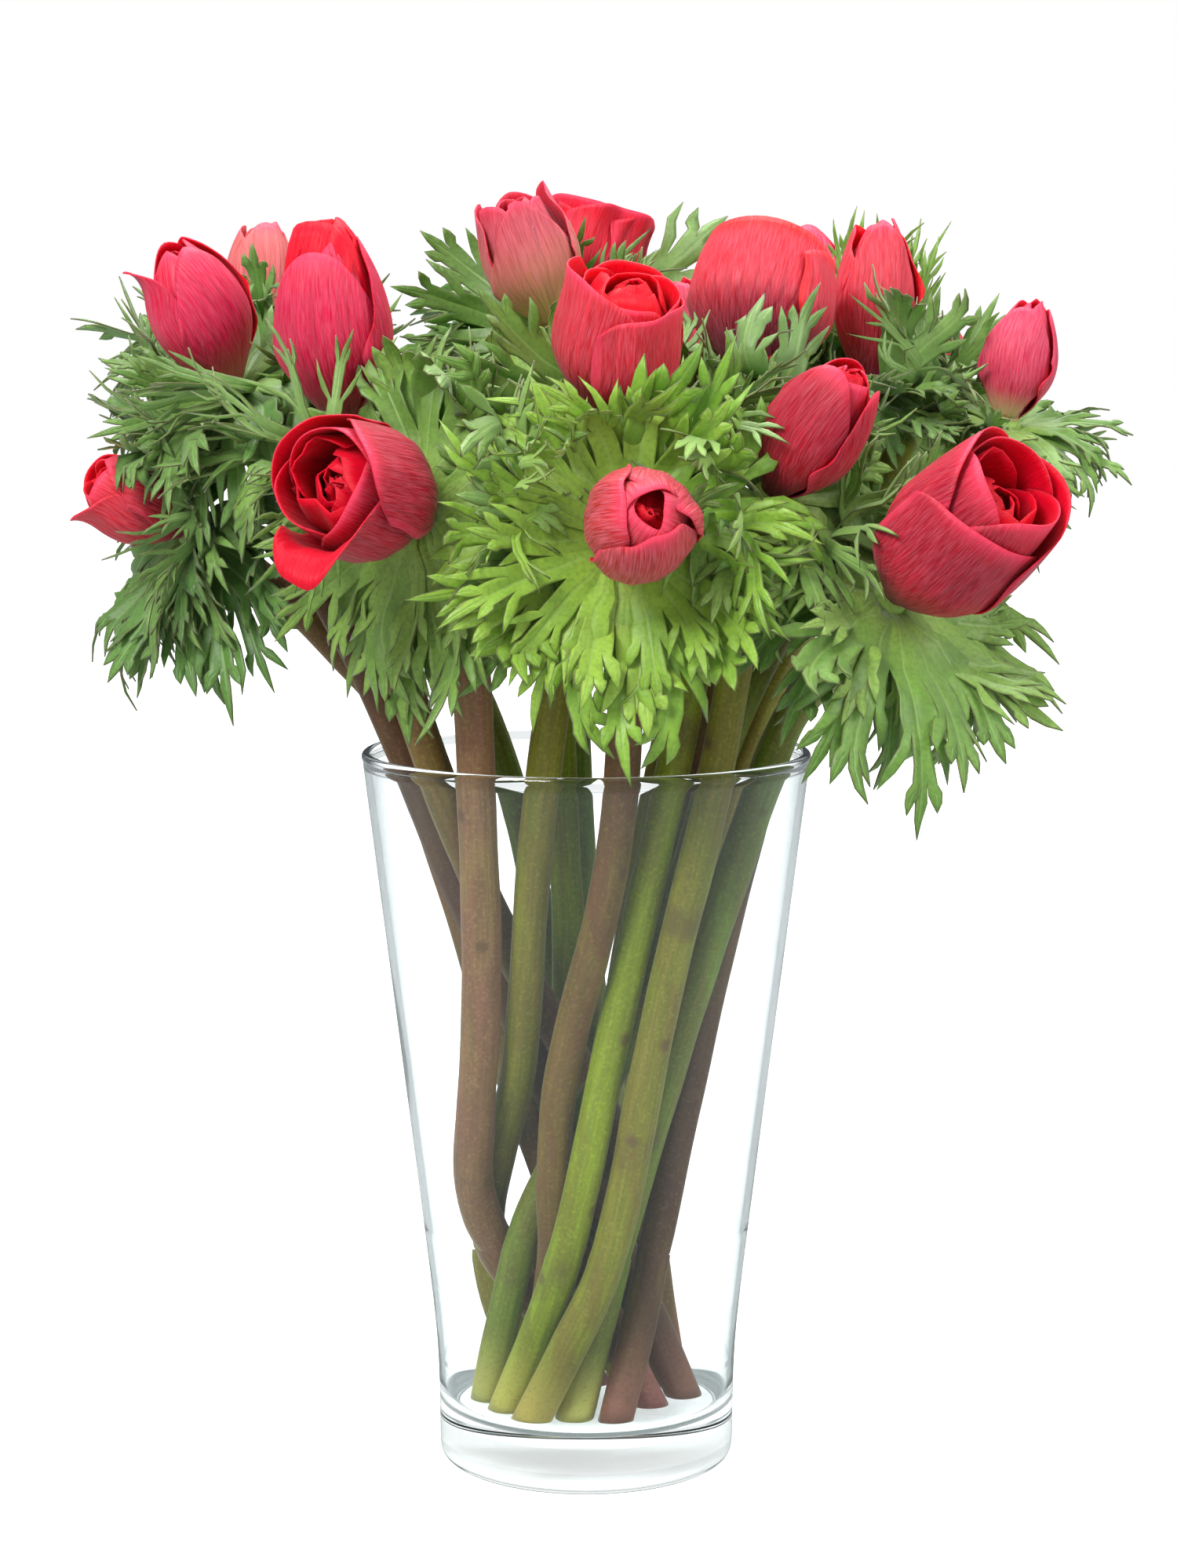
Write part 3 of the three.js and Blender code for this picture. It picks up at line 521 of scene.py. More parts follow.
def stem_material(name, skin, flush, foot, flush_share):
    """Downy stem skin: green under a brown or mauve flush, with specks, bruises and scars."""
    material, tree = new_material(name)
    place = object_place(tree)
    along, = mesh_marks(tree, ["along"])
    lines, broad_lines = lines_along(wide_place(tree), 900.0, 0.04)
    lengthened = add_node(tree, "ShaderNodeMapping", {"Vector": place, "Scale": (1.0, 1.0, 0.15)})
    sides = noise(lengthened.outputs[0], 130.0, 1.0)
    specks = noise(place, 1100.0, 3.0)
    bruises = noise(place, 36.0, 3.0)
    scars = add_node(tree, "ShaderNodeTexVoronoi", {"Vector": place, "Scale": 62.0})
    colour = layered(
        mottle(skin, flush, place, 28.0, flush_share),
        (between(sides, 0.44, 0.60, 0.0, 0.7), flush),
        (times(broad_lines, 0.4), flush),
        (times(lines, 0.6), shade_of(skin, 0.5)),
        (between(along, 0.10, 0.0), foot),
        (between(specks, 0.52, 0.72, 0.0, 0.22), shade_of(skin, 1.7, 0.05)),
        (between(specks, 0.46, 0.30, 0.0, 0.25), shade_of(flush, 0.45)),
        (between(bruises, 0.60, 0.72, 0.0, 0.45), paint(88, 60, 46)),
        (between(scars.outputs["Distance"], 0.16, 0.06, 0.0, 0.65), paint(94, 68, 44)),
    )
    height = combined("ADD", times(broad_lines, 0.8), times(specks, 0.25))
    grown_surface(tree, colour, height, 0.45, {
        "Roughness": 0.55, "Specular IOR Level": 0.35,
        "Sheen Weight": 0.28, "Sheen Roughness": 0.35, "Sheen Tint": (0.95, 0.90, 0.70, 1),
        "Subsurface Weight": 0.12, "Subsurface Radius": (0.5, 0.35, 0.15),
        "Subsurface Scale": 0.003,
    })
    return material


# Skin, flush and foot, and how much the flush covers
stem_skins = {look: stem_material(f"stem_{look}", *colours) for look, *colours in [
    ("mauve", paint(158, 128, 74), paint(140, 92, 74), paint(168, 104, 98), 0.85),
    ("brown", paint(130, 112, 48), paint(112, 68, 48), paint(154, 92, 86), 0.85),
    ("dark", paint(106, 80, 42), paint(84, 50, 42), paint(136, 90, 74), 0.85),
    ("olive", paint(136, 142, 36), paint(126, 106, 46), paint(188, 170, 84), 0.6),
    ("green", paint(116, 144, 40), paint(112, 104, 44), paint(188, 184, 96), 0.5),
    ("lime", paint(142, 164, 24), paint(122, 118, 34), paint(194, 186, 90), 0.4),
]}
STEM_LOOKS = ("dark green brown lime green olive lime green brown "
              "olive olive olive dark green brown mauve brown").split()
for index, number in enumerate(numbers):
    width = STEM_WIDTHS[index] / 1000
    points, faces, marks, uv = stem_skin(stem_lines[index], width, STEM_SEED + index)
    add_piece(f"stalk_{number}", points, faces, stem_skins[STEM_LOOKS[index]], "stem",
              f"stem_{number}", marks, uv)

# The leaf collars: under every bloom stand nine feathery green leaves in three whorls, joined to
# the stem at one ring. Each is a soft palm cut into five lobes, and each lobe into pointed teeth.

HUB_RADIUS = 0.0046
HUB_HEIGHT = 0.005
LEAVES = 3
LOBES = 5
PALM_SHARE = 0.30
PALM_STEPS = 6
PALM_WIDTHS = [1, 0.85, 0.7, 0.55, 0.4]
PALM_ROUNDING = 0.038
PLEAT = 0.0007
LOBE_WIDTH = 0.135
LOBE_FAN = 23
LOBE_POINTS = 11
LEAST_ADVANCE = 0.6
BORDER_BEND = 0.45
ROOT_HALF_ANGLE = 37.5
SOFT_ROOM = 0.012
OWN_CLEARANCE = 0.0022
RIM_CLEARANCE = 0.003
LOBE_CLEARANCE = 0.005
LONGEST_PUSH = 0.004
STEM_BALLS = 56
PETAL_OVERLAP = 0.0008
PETAL_ROOT = 0.0032
SHUT_MOUTH = 0.42
MOUTH_GAIN = 0.80
LEAF_SEED = 700

# Each flower, in mm and degrees: the middle of its ring of leaves, the way its bloom looks, the
# bloom's length and width and how open it is, the bearing of its first leaf, the length of its
# leaves, how they bend down, and how far those at the front drop
FLOWER_COLUMNS = ["collar", "faces", "length", "width", "open", "turn", "leaf", "droop", "drop"]
FLOWERS = [dict(zip(FLOWER_COLUMNS, row)) for row in [
    ((-91, -4, 284), (-35, -20, 91), 40, 26, 0.1, 200, 54, 0.6, 34),
    ((-90, 58, 294), (3, 12, 98), 34, 20, 0.05, 250, 50, 0.7, 10),
    ((-61, -24, 275), (-8, -17, 98), 50, 29, 0.2, 270, 52, 0.5, 36),
    ((-8, 14, 300), (-32, -24, 91), 37, 26, 0.1, 230, 44, 0.5, 24),
    ((-4, 44, 300), (22, 14, 95), 38, 30, 0.5, 20, 48, 0.5, 10),
    ((5, -43, 277), (13, -46, 86), 43, 32, 0.55, 200, 46, 0.5, 30),
    ((41, -14, 287), (19, 36, 89), 43, 37, 0.7, 262, 46, 0.5, 80),
    ((75, 15, 284), (6, 12, 99), 43, 22, 0.2, 250, 46, 0.4, 34),
    ((64, 60, 288), (-6, 20, 97), 38, 21, 0.05, 90, 50, 0.5, 10),
    ((37, 22, 280), (-33, 12, 92), 34, 18, 0.05, 250, 34, 0.4, 10),
    ((45, -50, 259), (48, -46, 75), 42, 24, 0.15, 300, 50, 0.6, 30),
    ((88, 52, 272), (33, 62, 72), 36, 22, 0.15, 100, 50, 0.6, 10),
    ((109, 7, 275), (22, -14, 97), 35, 19, 0.05, 296, 36, 0.7, 20),
    ((75, -48, 234), (54, -60, 59), 50, 36, 0.5, 180, 56, 0.9, 10),
    ((10, -68, 249), (14, -96, 26), 38, 27, 0.15, 40, 54, 0.5, 10),
    ((-40, -54, 256), (-54, -81, 22), 43, 34, 0.55, 250, 54, 0.7, 10),
    ((-103, 4, 248), (-82, -34, 45), 35, 22, 0.35, 290, 46, 1, 10),
]]
# Leaves of the first whorl that hang lower still, by flower and leaf
LOWERED = {(0, 1): 22, (3, 2): 34}
# Whorls of leaves on each ring: turned from the first, how steeply they rise, their size, how
# they bend down, how far they keep from the leaves beside them, how their lobes curl, and their
# share of the drop at the front
WHORLS = [
    dict(turned=0, rises=(2, 30), size=1.06, droop=1.0, gap=0.002, curls=(-0.9, 0.9), front=0.5),
    dict(turned=62, rises=(16, 42), size=0.86, droop=0.5, gap=0.0022, curls=(-1.3, 0.9), front=1.0),
    dict(turned=31, rises=(-6, 16), size=0.92, droop=1.25, gap=0.0022, curls=(-0.9, 1.3),
         front=0.5),
]
draw_state = 6


def draw(low, high):
    """One even draw between two values, the same on every run."""
    global draw_state
    draw_state = draw_state * 16807 % 2147483647
    return low + (high - low) * draw_state / 2147483647


def around(flower, bearing):
    """Direction square to a flower's axis at a bearing, in degrees."""
    angle = np.radians(np.asarray(bearing, float))[..., None]
    return np.cos(angle) * flower["side"] + np.sin(angle) * flower["up"]


def mouth_of(flower):
    """How wide a bloom is at its top, as a share of its widest."""
    return SHUT_MOUTH + MOUTH_GAIN * flower["open"]


def bud_radius(half, mouth, share):
    """A bud's radius at shares of its length, from its seat to its mouth."""
    low = PETAL_ROOT + (half - PETAL_ROOT) * np.sin(math.pi * np.minimum(share, 0.5))
    high = half * (1 + (mouth - 1) * (2 * np.maximum(share, 0.5) - 1) ** 2)
    return np.where(share < 0.5, low, high)


def lobe_plans(reach):
    """How each lobe of a leaf fans out, lifts and how long it is."""
    lobes = []
    for side in range(LOBES):
        aside = side - (LOBES - 1) / 2
        fan = math.radians(aside * LOBE_FAN + draw(-5, 5))
        lift = draw(-0.25, 0.25)
        length = reach * (1 - PALM_SHARE) * (1 - 0.1 * abs(aside)) * draw(0.85, 1.08)
        lobes.append((fan, lift, length))
    return lobes


for index, flower in enumerate(FLOWERS):
    flower["hub"] = np.array(flower["collar"], float) / 1000
    flower["axis"] = unit(np.array(flower["faces"], float))
    flower["side"] = unit(np.array([flower["axis"][1], -flower["axis"][0], 0]))
    flower["up"] = unit(np.cross(flower["side"], flower["axis"]))
    for size in ("length", "width", "leaf"):
        flower[size] /= 1000
    flower["leaves"] = []
    for whorl in WHORLS:
        for leaf in range(LEAVES):
            middle = flower["turn"] + whorl["turned"] + 360 / LEAVES * leaf + draw(-8, 8)
            rise = math.radians(draw(*whorl["rises"]))
            if around(flower, middle)[1] < 0:
                rise -= math.radians(flower["drop"] * whorl["front"])
            if whorl["turned"] == 0:
                rise -= math.radians(LOWERED.get((index, leaf), 0))
            reach = flower["leaf"] * whorl["size"]
            flower["leaves"].append(dict(
                middle=middle, rise=rise, reach=reach, lobes=lobe_plans(reach),
                droop=flower["droop"] * whorl["droop"], gap=whorl["gap"], curls=whorl["curls"],
                free=whorl["turned"] > 0, shown=0))
    shares = np.arange(0, 1.01, 0.1)
    heights = (HUB_HEIGHT / 2 + shares * flower["length"])[:, None]
    line = smooth_line(stem_lines[index], STEM_BALLS)
    bloom_sizes = bud_radius(flower["width"] / 2, mouth_of(flower), shares) + PETAL_OVERLAP
    flower["balls"] = np.vstack([line, flower["hub"] + flower["axis"] * heights])
    flower["ball_sizes"] = np.concatenate([
        np.full(len(line), STEM_WIDTHS[index] / 2000), bloom_sizes])

# Single leaves that stand up between the blooms: the flower's place in the list, where the leaf
# points, and how long it is in metres
FRONT = np.array([0.0, -1.0, 0.0])
TURNED_FRONT = 0.5
STANDING_LEAVES = [
    (4, (0.97, -0.05, -0.10), 0.058), (4, (0.60, -0.60, -0.40), 0.046),
    (8, (0.80, -0.10, 0.70), 0.056), (8, (0.95, 0.00, 0.35), 0.058),
    (3, (-1.00, 0.10, 0.06), 0.046), (9, (-0.30, -0.60, 0.55), 0.040),
    (11, (0.70, -0.40, 0.50), 0.046), (0, (-0.85, -0.50, -0.05), 0.036),
    (1, (0.50, -0.50, 0.40), 0.040), (5, (-0.70, -0.55, 0.35), 0.050),
    (14, (-0.15, -0.30, 1.00), 0.050), (14, (0.75, -0.30, 0.60), 0.055),
    (14, (-1.00, -0.25, 0.10), 0.055), (7, (0.70, -0.60, 0.25), 0.046),
    (16, (0.75, -0.55, -0.35), 0.054), (16, (0.35, -0.60, -0.70), 0.052),
    (15, (-0.55, 0.30, -0.80), 0.050),
]
for index, way, reach in STANDING_LEAVES:
    flower = FLOWERS[index]
    way = unit(np.array(way))
    middle = math.degrees(math.atan2(way @ flower["up"], way @ flower["side"]))
    flower["leaves"].append(dict(
        middle=middle, rise=math.asin(way @ flower["axis"]), reach=reach, lobes=lobe_plans(reach),
        droop=0.1, gap=0.0022, curls=(-0.8, 0.8), free=True, shown=TURNED_FRONT))

all_balls = np.vstack([flower["balls"] for flower in FLOWERS])
all_sizes = np.concatenate([flower["ball_sizes"] for flower in FLOWERS])
ball_owners = np.repeat(np.arange(len(FLOWERS)), [len(flower["balls"]) for flower in FLOWERS])


def room_at(index, point, free=False):
    """Room to the border of a flower's share, the way back, and its own nearest ball. A leaf that
    is free has room up to the other flowers' own blooms and stems."""
    offsets = point - all_balls
    lengths = np.sqrt((offsets ** 2).sum(axis=1))
    reaches = lengths - all_sizes
    mine = ball_owners == index
    own = np.argmin(np.where(mine, reaches, 9.0))
    other = np.argmin(np.where(mine, 9.0, reaches))
    away, back = offsets[own] / lengths[own], offsets[other] / lengths[other]
    if free:
        return reaches[other], back, reaches[own], away
    return reaches[other] - reaches[own], back - away, reaches[own], away


def keep_in_share(index, point, leaf):
    """A leaf's point moved into its flower's share, off its own bloom and off the vase."""
    for _ in range(5):
        room, back, _, _ = room_at(index, point, leaf["free"])
        if room < leaf["gap"]:
            push = (leaf["gap"] - room) / max(back @ back, 0.4)
            point = point + back * min(LONGEST_PUSH, push)
        _, _, rest, away = room_at(index, point)
        if rest < OWN_CLEARANCE:
            point = point + away * (OWN_CLEARANCE - rest)
        distance = math.hypot(point[0], point[1])
        clear = wall_radius(min(point[2], VASE_HEIGHT)) + RIM_CLEARANCE
        if point[2] < VASE_HEIGHT + RIM_CLEARANCE and distance < clear:
            point = point * np.array([clear / distance, clear / distance, 1])
    return point


def bend_heading(index, point, heading, step, leaf):
    """A growing leaf's heading, bent by its weight and back from the border of its share."""
    room, back, _, _ = room_at(index, point, leaf["free"])
    nearness = max(0.0, 1 - (room - leaf["gap"]) / SOFT_ROOM)
    heading = heading - np.array([0, 0, leaf["droop"] * step / leaf["reach"]])
    return unit(heading + unit(back) * BORDER_BEND * nearness)


def leaf_directions(flower, leaf):
    """Straight out from the stem at a leaf's bearing, and the way that the leaf sets out."""
    outward = around(flower, leaf["middle"])
    return outward, outward * math.cos(leaf["rise"]) + flower["axis"] * math.sin(leaf["rise"])


def grow_palm(index, leaf):
    """A leaf's palm: the line of its midrib, its end's directions, and its notch points."""
    flower = FLOWERS[index]
    outward, along = leaf_directions(flower, leaf)
    across = around(flower, leaf["middle"] + 90)
    end = flower["hub"] + outward * HUB_RADIUS
    step = PALM_SHARE * leaf["reach"] / PALM_STEPS
    line = [end]
    upright = np.cross(along, FRONT)
    if upright @ across <= 0:
        upright = -upright
    for _ in range(PALM_STEPS):
        across = across + upright * leaf["shown"]
        along = bend_heading(index, end, along, step, leaf)
        end = keep_in_share(index, end + along * step, leaf)
        moved = unit(end - line[-1])
        along = unit((along + moved) / 2)
        across = unit(across - along * (across @ along))
        line.append(end)
    normal = np.cross(along, across)
    places = np.arange(LOBES + 1)
    pleat = np.where(places % 2, PLEAT, -PLEAT)
    for share in PALM_WIDTHS:
        aside = (places - LOBES / 2) * share * LOBE_WIDTH * leaf["reach"]
        notches = (end + aside[:, None] * across - (aside ** 2 / PALM_ROUNDING)[:, None] * along
                   + pleat[:, None] * normal)
        if all(room_at(index, notch, leaf["free"])[0] > leaf["gap"] for notch in notches):
            break
    return np.array(line), along, across, normal, notches


def grow_lobe(index, grown, start, heading, length, leaf):
    """The midrib of one lobe, grown in small steps; it ends early where it finds no way on."""
    step = length / (LOBE_POINTS - 1)
    points = [start]
    while len(points) < LOBE_POINTS:
        curled = heading + leaf["curl"] * step / length
        heading = bend_heading(index, points[-1], curled, step, leaf)
        following = points[-1] + heading * step
        clear = LOBE_CLEARANCE * min(1, len(points) / 5)
        for midrib in grown:
            for other in midrib[1:]:
                apart = following - other
                distance = math.sqrt(apart @ apart)
                if distance < clear:
                    following = following + apart * ((clear - distance) / distance * 0.7)
        following = keep_in_share(index, following, leaf)
        moved = unit(following - points[-1])
        if len(points) > 3 and moved @ heading < LEAST_ADVANCE:
            break
        heading = unit((heading + moved) / 2)
        points.append(following)
    return smooth_line(np.array(points), LOBE_POINTS)


# The leaf as a sheet: a palm, then lobes that part twice into teeth. Every strip grows from some
# of the places of the row before it, so the whole leaf is one piece.
PALM_ROWS = 3
LOBE_STEPS = 12
BODY_ROWS = 4
FORK_ROWS = 3
TOOTH_ROWS = 3
MIDRIB_POINTS = 33
LEAF_THICKNESS = 0.0004
PALM_FOLD = 0.0006
RING_SIDES = 24
LEAF_MARKS = ["vein", "rim", "along", "skin", "tone"]


def add_strip(faces, row, first, rows, pointed=False):
    """Faces of a strip on from a row of points: its last row, and the next free number."""
    for k in range(rows):
        if pointed and k == rows - 1:
            faces += [(a, b, first) for a, b in zip(row, row[1:])]
            return [first], first + 1
        following = list(range(first, first + len(row)))
        faces += [(a, b, d, c) for a, b, c, d in zip(row, row[1:], following, following[1:])]
        row, first = following, first + len(row)
    return row, first


def leaf_faces():
    """Faces of one leaf's sheet, and how many points it has."""
    faces = []
    width = LOBES * LOBE_STEPS + 1
    notch_row, first = add_strip(faces, list(range(width)), width, PALM_ROWS)
    for lobe in range(LOBES):
        foot = notch_row[lobe * LOBE_STEPS:(lobe + 1) * LOBE_STEPS + 1]
        body, first = add_strip(faces, foot, first, BODY_ROWS)
        for foot in (body[:4], body[9:]):
            _, first = add_strip(faces, foot, first, TOOTH_ROWS, pointed=True)
        fork, first = add_strip(faces, body[3:10], first, FORK_ROWS)
        for foot in (fork[:3], fork[4:], fork[2:5]):
            _, first = add_strip(faces, foot, first, TOOTH_ROWS, pointed=True)
    return faces, first


def closed(faces, count):
    """Faces of a thin blade whose second skin's points follow those of its first."""
    edges = {edge for face in faces for edge in zip(face, face[1:] + face[:1])}
    rim = [(b, a, a + count, b + count) for a, b in sorted(edges) if (b, a) not in edges]
    return faces + [tuple(v + count for v in reversed(face)) for face in faces] + rim


def thickened(points, triangles, thickness):
    """Both skins of a sheet, one after the other."""
    a, b, c = (points[triangles[:, k]] for k in range(3))
    cross = np.cross(b - a, c - a)
    normals = np.zeros_like(points)
    for k in range(3):
        np.add.at(normals, triangles[:, k], cross)
    shift = unit(normals) * (thickness / 2)
    return np.vstack([points + shift, points - shift])


def triangles_of(faces):
    """Faces of three or four corners as triangles."""
    return np.array([(face[0], *pair) for face in faces for pair in zip(face[1:], face[2:])])


def strip_plan(foot, reach, halves, columns, lean=0.0, bend=0.0, notches=None):
    """Part of a lobe laid flat in rows: its places along and across, and at each how far it is
    from the midrib, if it is on the rim, and how far along a tooth it is and how long that is.
    A part with no notches to grow on from is a tooth, and its last row is one point."""
    rows = len(halves)
    shares = np.arange(1, rows + 1) / rows
    turned, average = lean + bend * shares, lean + bend * shares / 2
    middles = foot + reach * shares[:, None] * np.stack([np.cos(average), np.sin(average)], axis=1)
    square = np.stack([-np.sin(turned), np.cos(turned)], axis=1)
    across = np.linspace(-1, 1, columns)
    places = middles[:, None] + square[:, None] * (halves[:, None] * across)[..., None]
    aside = np.tile(np.abs(across), (rows, 1))
    rims = (aside > 0.99).astype(float)
    rims[-1, notches] = 1
    count, tips, reaches = rows * columns, 0.0, 0.0
    if notches is None:
        aside[-1] = 0
        count, tips, reaches = count - columns + 1, np.repeat(shares, columns), reach
    marks = aside.ravel(), rims.ravel(), tips, reaches
    spread = [np.broadcast_to(values, rows * columns) for values in marks]
    return [values[:count] for values in (places.reshape(-1, 2), *spread)]


def body_plan(start, stop, low, high, rows, columns, notches):
    """The straight part of a lobe between two forks, as it widens or narrows."""
    halves = low + (high - low) * np.sin(np.arange(1, rows + 1) / rows * math.pi / 2)
    return strip_plan(np.array([start, 0.0]), stop - start, halves, columns, notches=notches)


def tooth_plan(foot, half, reach, lean, bend, columns):
    shares = np.arange(1, TOOTH_ROWS + 1) / TOOTH_ROWS
    halves = half * (1 - shares ** 2.2) * (1 + 0.65 * np.sin(math.pi * shares))
    return strip_plan(foot, reach, halves, columns, lean, bend)


def lobe_plan(vary, half, length):
    """One lobe laid flat: its places along and across, and the marks that go with them."""
    first = length * vary(0.26, 0.42)
    second = length * vary(0.58, 0.70)
    body = half * vary(0.95, 1.3)
    fork = body * 0.5 * vary(1.3, 1.7)
    parts = [body_plan(0.0, first, half, body, BODY_ROWS, LOBE_STEPS + 1, [3, 9])]
    for side in (-1, 1):
        foot = np.array([first, side * body * 0.75])
        reach = length * vary(0.28, 0.46)
        parts.append(tooth_plan(foot, body * 0.25, reach, side * vary(0.35, 0.7),
                                side * vary(-0.5, 0.1), 4))
    parts.append(body_plan(first, second, body * 0.5, fork, FORK_ROWS, 7, [2, 4]))
    for side in (-1, 1):
        foot = np.array([second, side * fork * 0.66])
        reach = length * vary(0.14, 0.24)
        parts.append(tooth_plan(foot, fork * 0.34, reach, side * vary(0.3, 0.6),
                                side * vary(-0.4, 0.1), 3))
    parts.append(tooth_plan(np.array([second, 0.0]), fork * 0.34, length - second,
                            vary(-0.1, 0.1), vary(-0.2, 0.2), 3))
    return [np.concatenate(part) for part in zip(*parts)]


def lobe_points(vary, midrib, left, right):
    """A lobe's points: its flat plan bent along its midrib, folded, waved and curled."""
    line = smooth_line(midrib, MIDRIB_POINTS)
    length = line_length(line)
    plan, veins, rims, tips, reaches = lobe_plan(vary, np.linalg.norm(right - left) / 2, length)
    share = np.clip(plan[:, 0] / length, 0, 1)
    knots = np.linspace(0, 1, MIDRIB_POINTS)
    middles, along, side, up = (each_axis(share, knots, values) for values in
                                (line, *carried_frames(line, unit(right - left))))
    aside = plan[:, 1]
    cup = vary(-70, 25)
    wave_size = vary(0.0002, 0.0008)
    wave = wave_size * np.sin(share * vary(8, 14) + vary(0, 6.3) + aside * 300)
    curl = vary(-0.55, 0.15) * reaches * tips ** 2
    fold = vary(0.1, 0.55) * np.abs(aside)
    bent = cup * aside ** 2 + wave * np.abs(aside) / 0.003 + fold
    lift = bent * np.clip(share / 0.2, 0, 1) + curl
    overshoot = np.maximum(plan[:, 0] - length, 0)
    points = middles + side * aside[:, None] - up * lift[:, None] + along * overshoot[:, None]
    return points, veins, rims, share


def leaf_points(index, vary, leaf, grown):
    """One leaf's sheet from its ring on the stem to the tips of its teeth, with its marks."""
    flower = FLOWERS[index]
    line, along, across, normal, notches = grow_palm(index, leaf)
    width = LOBES * LOBE_STEPS + 1
    spots = np.linspace(0, LOBES, width)
    notch_row = each_axis(spots, np.arange(LOBES + 1), notches)
    spread = np.linspace(-1, 1, width)
    bearings = leaf["middle"] + ROOT_HALF_ANGLE * spread
    root = flower["hub"] + around(flower, bearings) * HUB_RADIUS * 0.9
    _, outward = leaf_directions(flower, leaf)
    reach = line_length(line)
    h = np.linspace(0, 1, PALM_ROWS + 1)[:, None, None]
    veins = 1 - np.abs((spots + 0.5) % 1 - 0.5) * 2
    palm = ((2 * h ** 3 - 3 * h ** 2 + 1) * root + (h ** 3 - 2 * h ** 2 + h) * outward * reach
            + (3 * h ** 2 - 2 * h ** 3) * notch_row + (h ** 3 - h ** 2) * along * reach
            - normal * (PALM_FOLD * np.sin(h * math.pi) * (1 - veins[:, None])))
    rims = np.tile((np.abs(spread) > 0.999).astype(float), (PALM_ROWS + 1, 1))
    rims[-1, ::LOBE_STEPS] = 1
    parts = [(palm.reshape(-1, 3), np.tile(veins, PALM_ROWS + 1), rims.ravel(),
              np.repeat(np.linspace(0, 0.4, PALM_ROWS + 1), width))]
    for lobe, (fan, lift, length) in enumerate(leaf["lobes"]):
        left, right = notches[lobe], notches[lobe + 1]
        heading = unit(along * math.cos(fan) + across * math.sin(fan) + normal * lift)
        leaf["curl"] = normal * vary(*leaf["curls"]) + across * vary(-0.5, 0.5)
        midrib = grow_lobe(index, grown, (left + right) / 2, heading, length, leaf)
        grown.append(midrib)
        points, lobe_veins, lobe_rims, share = lobe_points(vary, midrib, left, right)
        parts.append((points, lobe_veins, lobe_rims, 0.4 + 0.6 * share))
    return [np.concatenate(part) for part in zip(*parts)]


def on_axis(flower, profile, sides):
    """A small turned body on a flower's axis."""
    points, faces = lathe(profile, sides)
    return (flower["hub"] + points[:, :1] * flower["side"] - points[:, 1:2] * flower["up"]
            + points[:, 2:] * flower["axis"]), faces


def joined(parts):
    """Closed bodies put together as one mesh: all their points, faces and marks."""
    faces, offset = [], 0
    for points, part_faces, _ in parts:
        faces += [tuple(v + offset for v in face) for face in part_faces]
        offset += len(points)
    marks = [np.concatenate(values) for values in zip(*[part[2] for part in parts])]
    return np.vstack([part[0] for part in parts]), faces, marks


def leaf_material(name, upper, young, shade):
    """Leaf green: paler along the veins and below, and brownish at the margins."""
    material, tree = new_material(name)
    place = object_place(tree)
    vein, rim, along, under, tone = mesh_marks(tree, LEAF_MARKS)
    cells = noise(place, 900.0, 2.0)
    margin = times(between(rim, 0.80, 0.99, 0.0, 0.65),
                   between(along, 0.3, 0.75, 0.35, 1.0))
    colour = layered(
        mottle(upper, shade, place, 90.0, 0.55),
        (between(along, 0.45, 0.0, 0.0, 0.7), young),
        (times(tone, 0.5), young),
        (between(cells, 0.4, 0.7, 0.0, 0.35), shade),
        (between(vein, 0.14, 0.0, 0.0, 0.4), paint(150, 182, 104)),
        (times(under, 0.32), paint(148, 178, 112)),
        (margin, paint(84, 58, 46)),
    )
    ridges = between(vein, 0.3, 0.0, 0.0, 0.9)
    height = combined("SUBTRACT", times(cells, 0.5), ridges)
    grown_surface(tree, colour, height, 0.5, {
        "Roughness": 0.46, "Specular IOR Level": 0.4, "Sheen Weight": 0.15, "Sheen Roughness": 0.4,
        "Subsurface Weight": 0.22, "Subsurface Radius": (0.5, 1.0, 0.2),
        "Subsurface Scale": 0.0015,
    })
    return material


# The upper side, its young parts, and its shaded parts
leaf_skins = {look: leaf_material(f"leaf_{look}", *colours) for look, *colours in [
    ("deep", paint(88, 128, 58), paint(136, 170, 82), paint(56, 88, 42)),
    ("mid", paint(106, 145, 60), paint(154, 185, 84), paint(70, 103, 46)),
    ("lime", paint(126, 168, 52), paint(170, 200, 80), paint(86, 126, 42)),
]}
LEAF_LOOKS = ("deep deep mid deep deep mid deep deep lime "
              "deep mid mid mid mid lime mid deep").split()
RING_PROFILE = [(0, -0.0028), (0.0040, -0.0028), (0.0047, -0.0018), (0.0049, 0.0),
                (0.0044, 0.0016), (0.0034, 0.0025), (0, 0.0025)]
sheet_faces, sheet_count = leaf_faces()
sheet_triangles = triangles_of(sheet_faces)
blade_faces = closed(sheet_faces, sheet_count)
for index, number in enumerate(numbers):
    flower = FLOWERS[index]
    vary = np.random.default_rng(LEAF_SEED + index).uniform
    parts = []
    for order, leaf in enumerate(flower["leaves"]):
        if order % LEAVES == 0:
            grown = []
        sheet, *sheet_marks = leaf_points(index, vary, leaf, grown)
        marks = [np.tile(mark, 2) for mark in sheet_marks]
        marks += [np.repeat([0.0, 1.0], sheet_count), np.full(2 * sheet_count, vary(0, 1))]
        parts.append((thickened(sheet, sheet_triangles, LEAF_THICKNESS), blade_faces, marks))
    ring, ring_faces = on_axis(flower, RING_PROFILE, RING_SIDES)
    ring_marks = [np.full(len(ring), value) for value in (0.6, 0, 0, 0, 0.5)]
    points, faces, marks = joined([*parts, (ring, ring_faces, ring_marks)])
    add_piece(f"leaves_{number}", points, faces, leaf_skins[LEAF_LOOKS[index]], "leaf",
              f"collar_{number}", dict(zip(LEAF_MARKS, marks)))

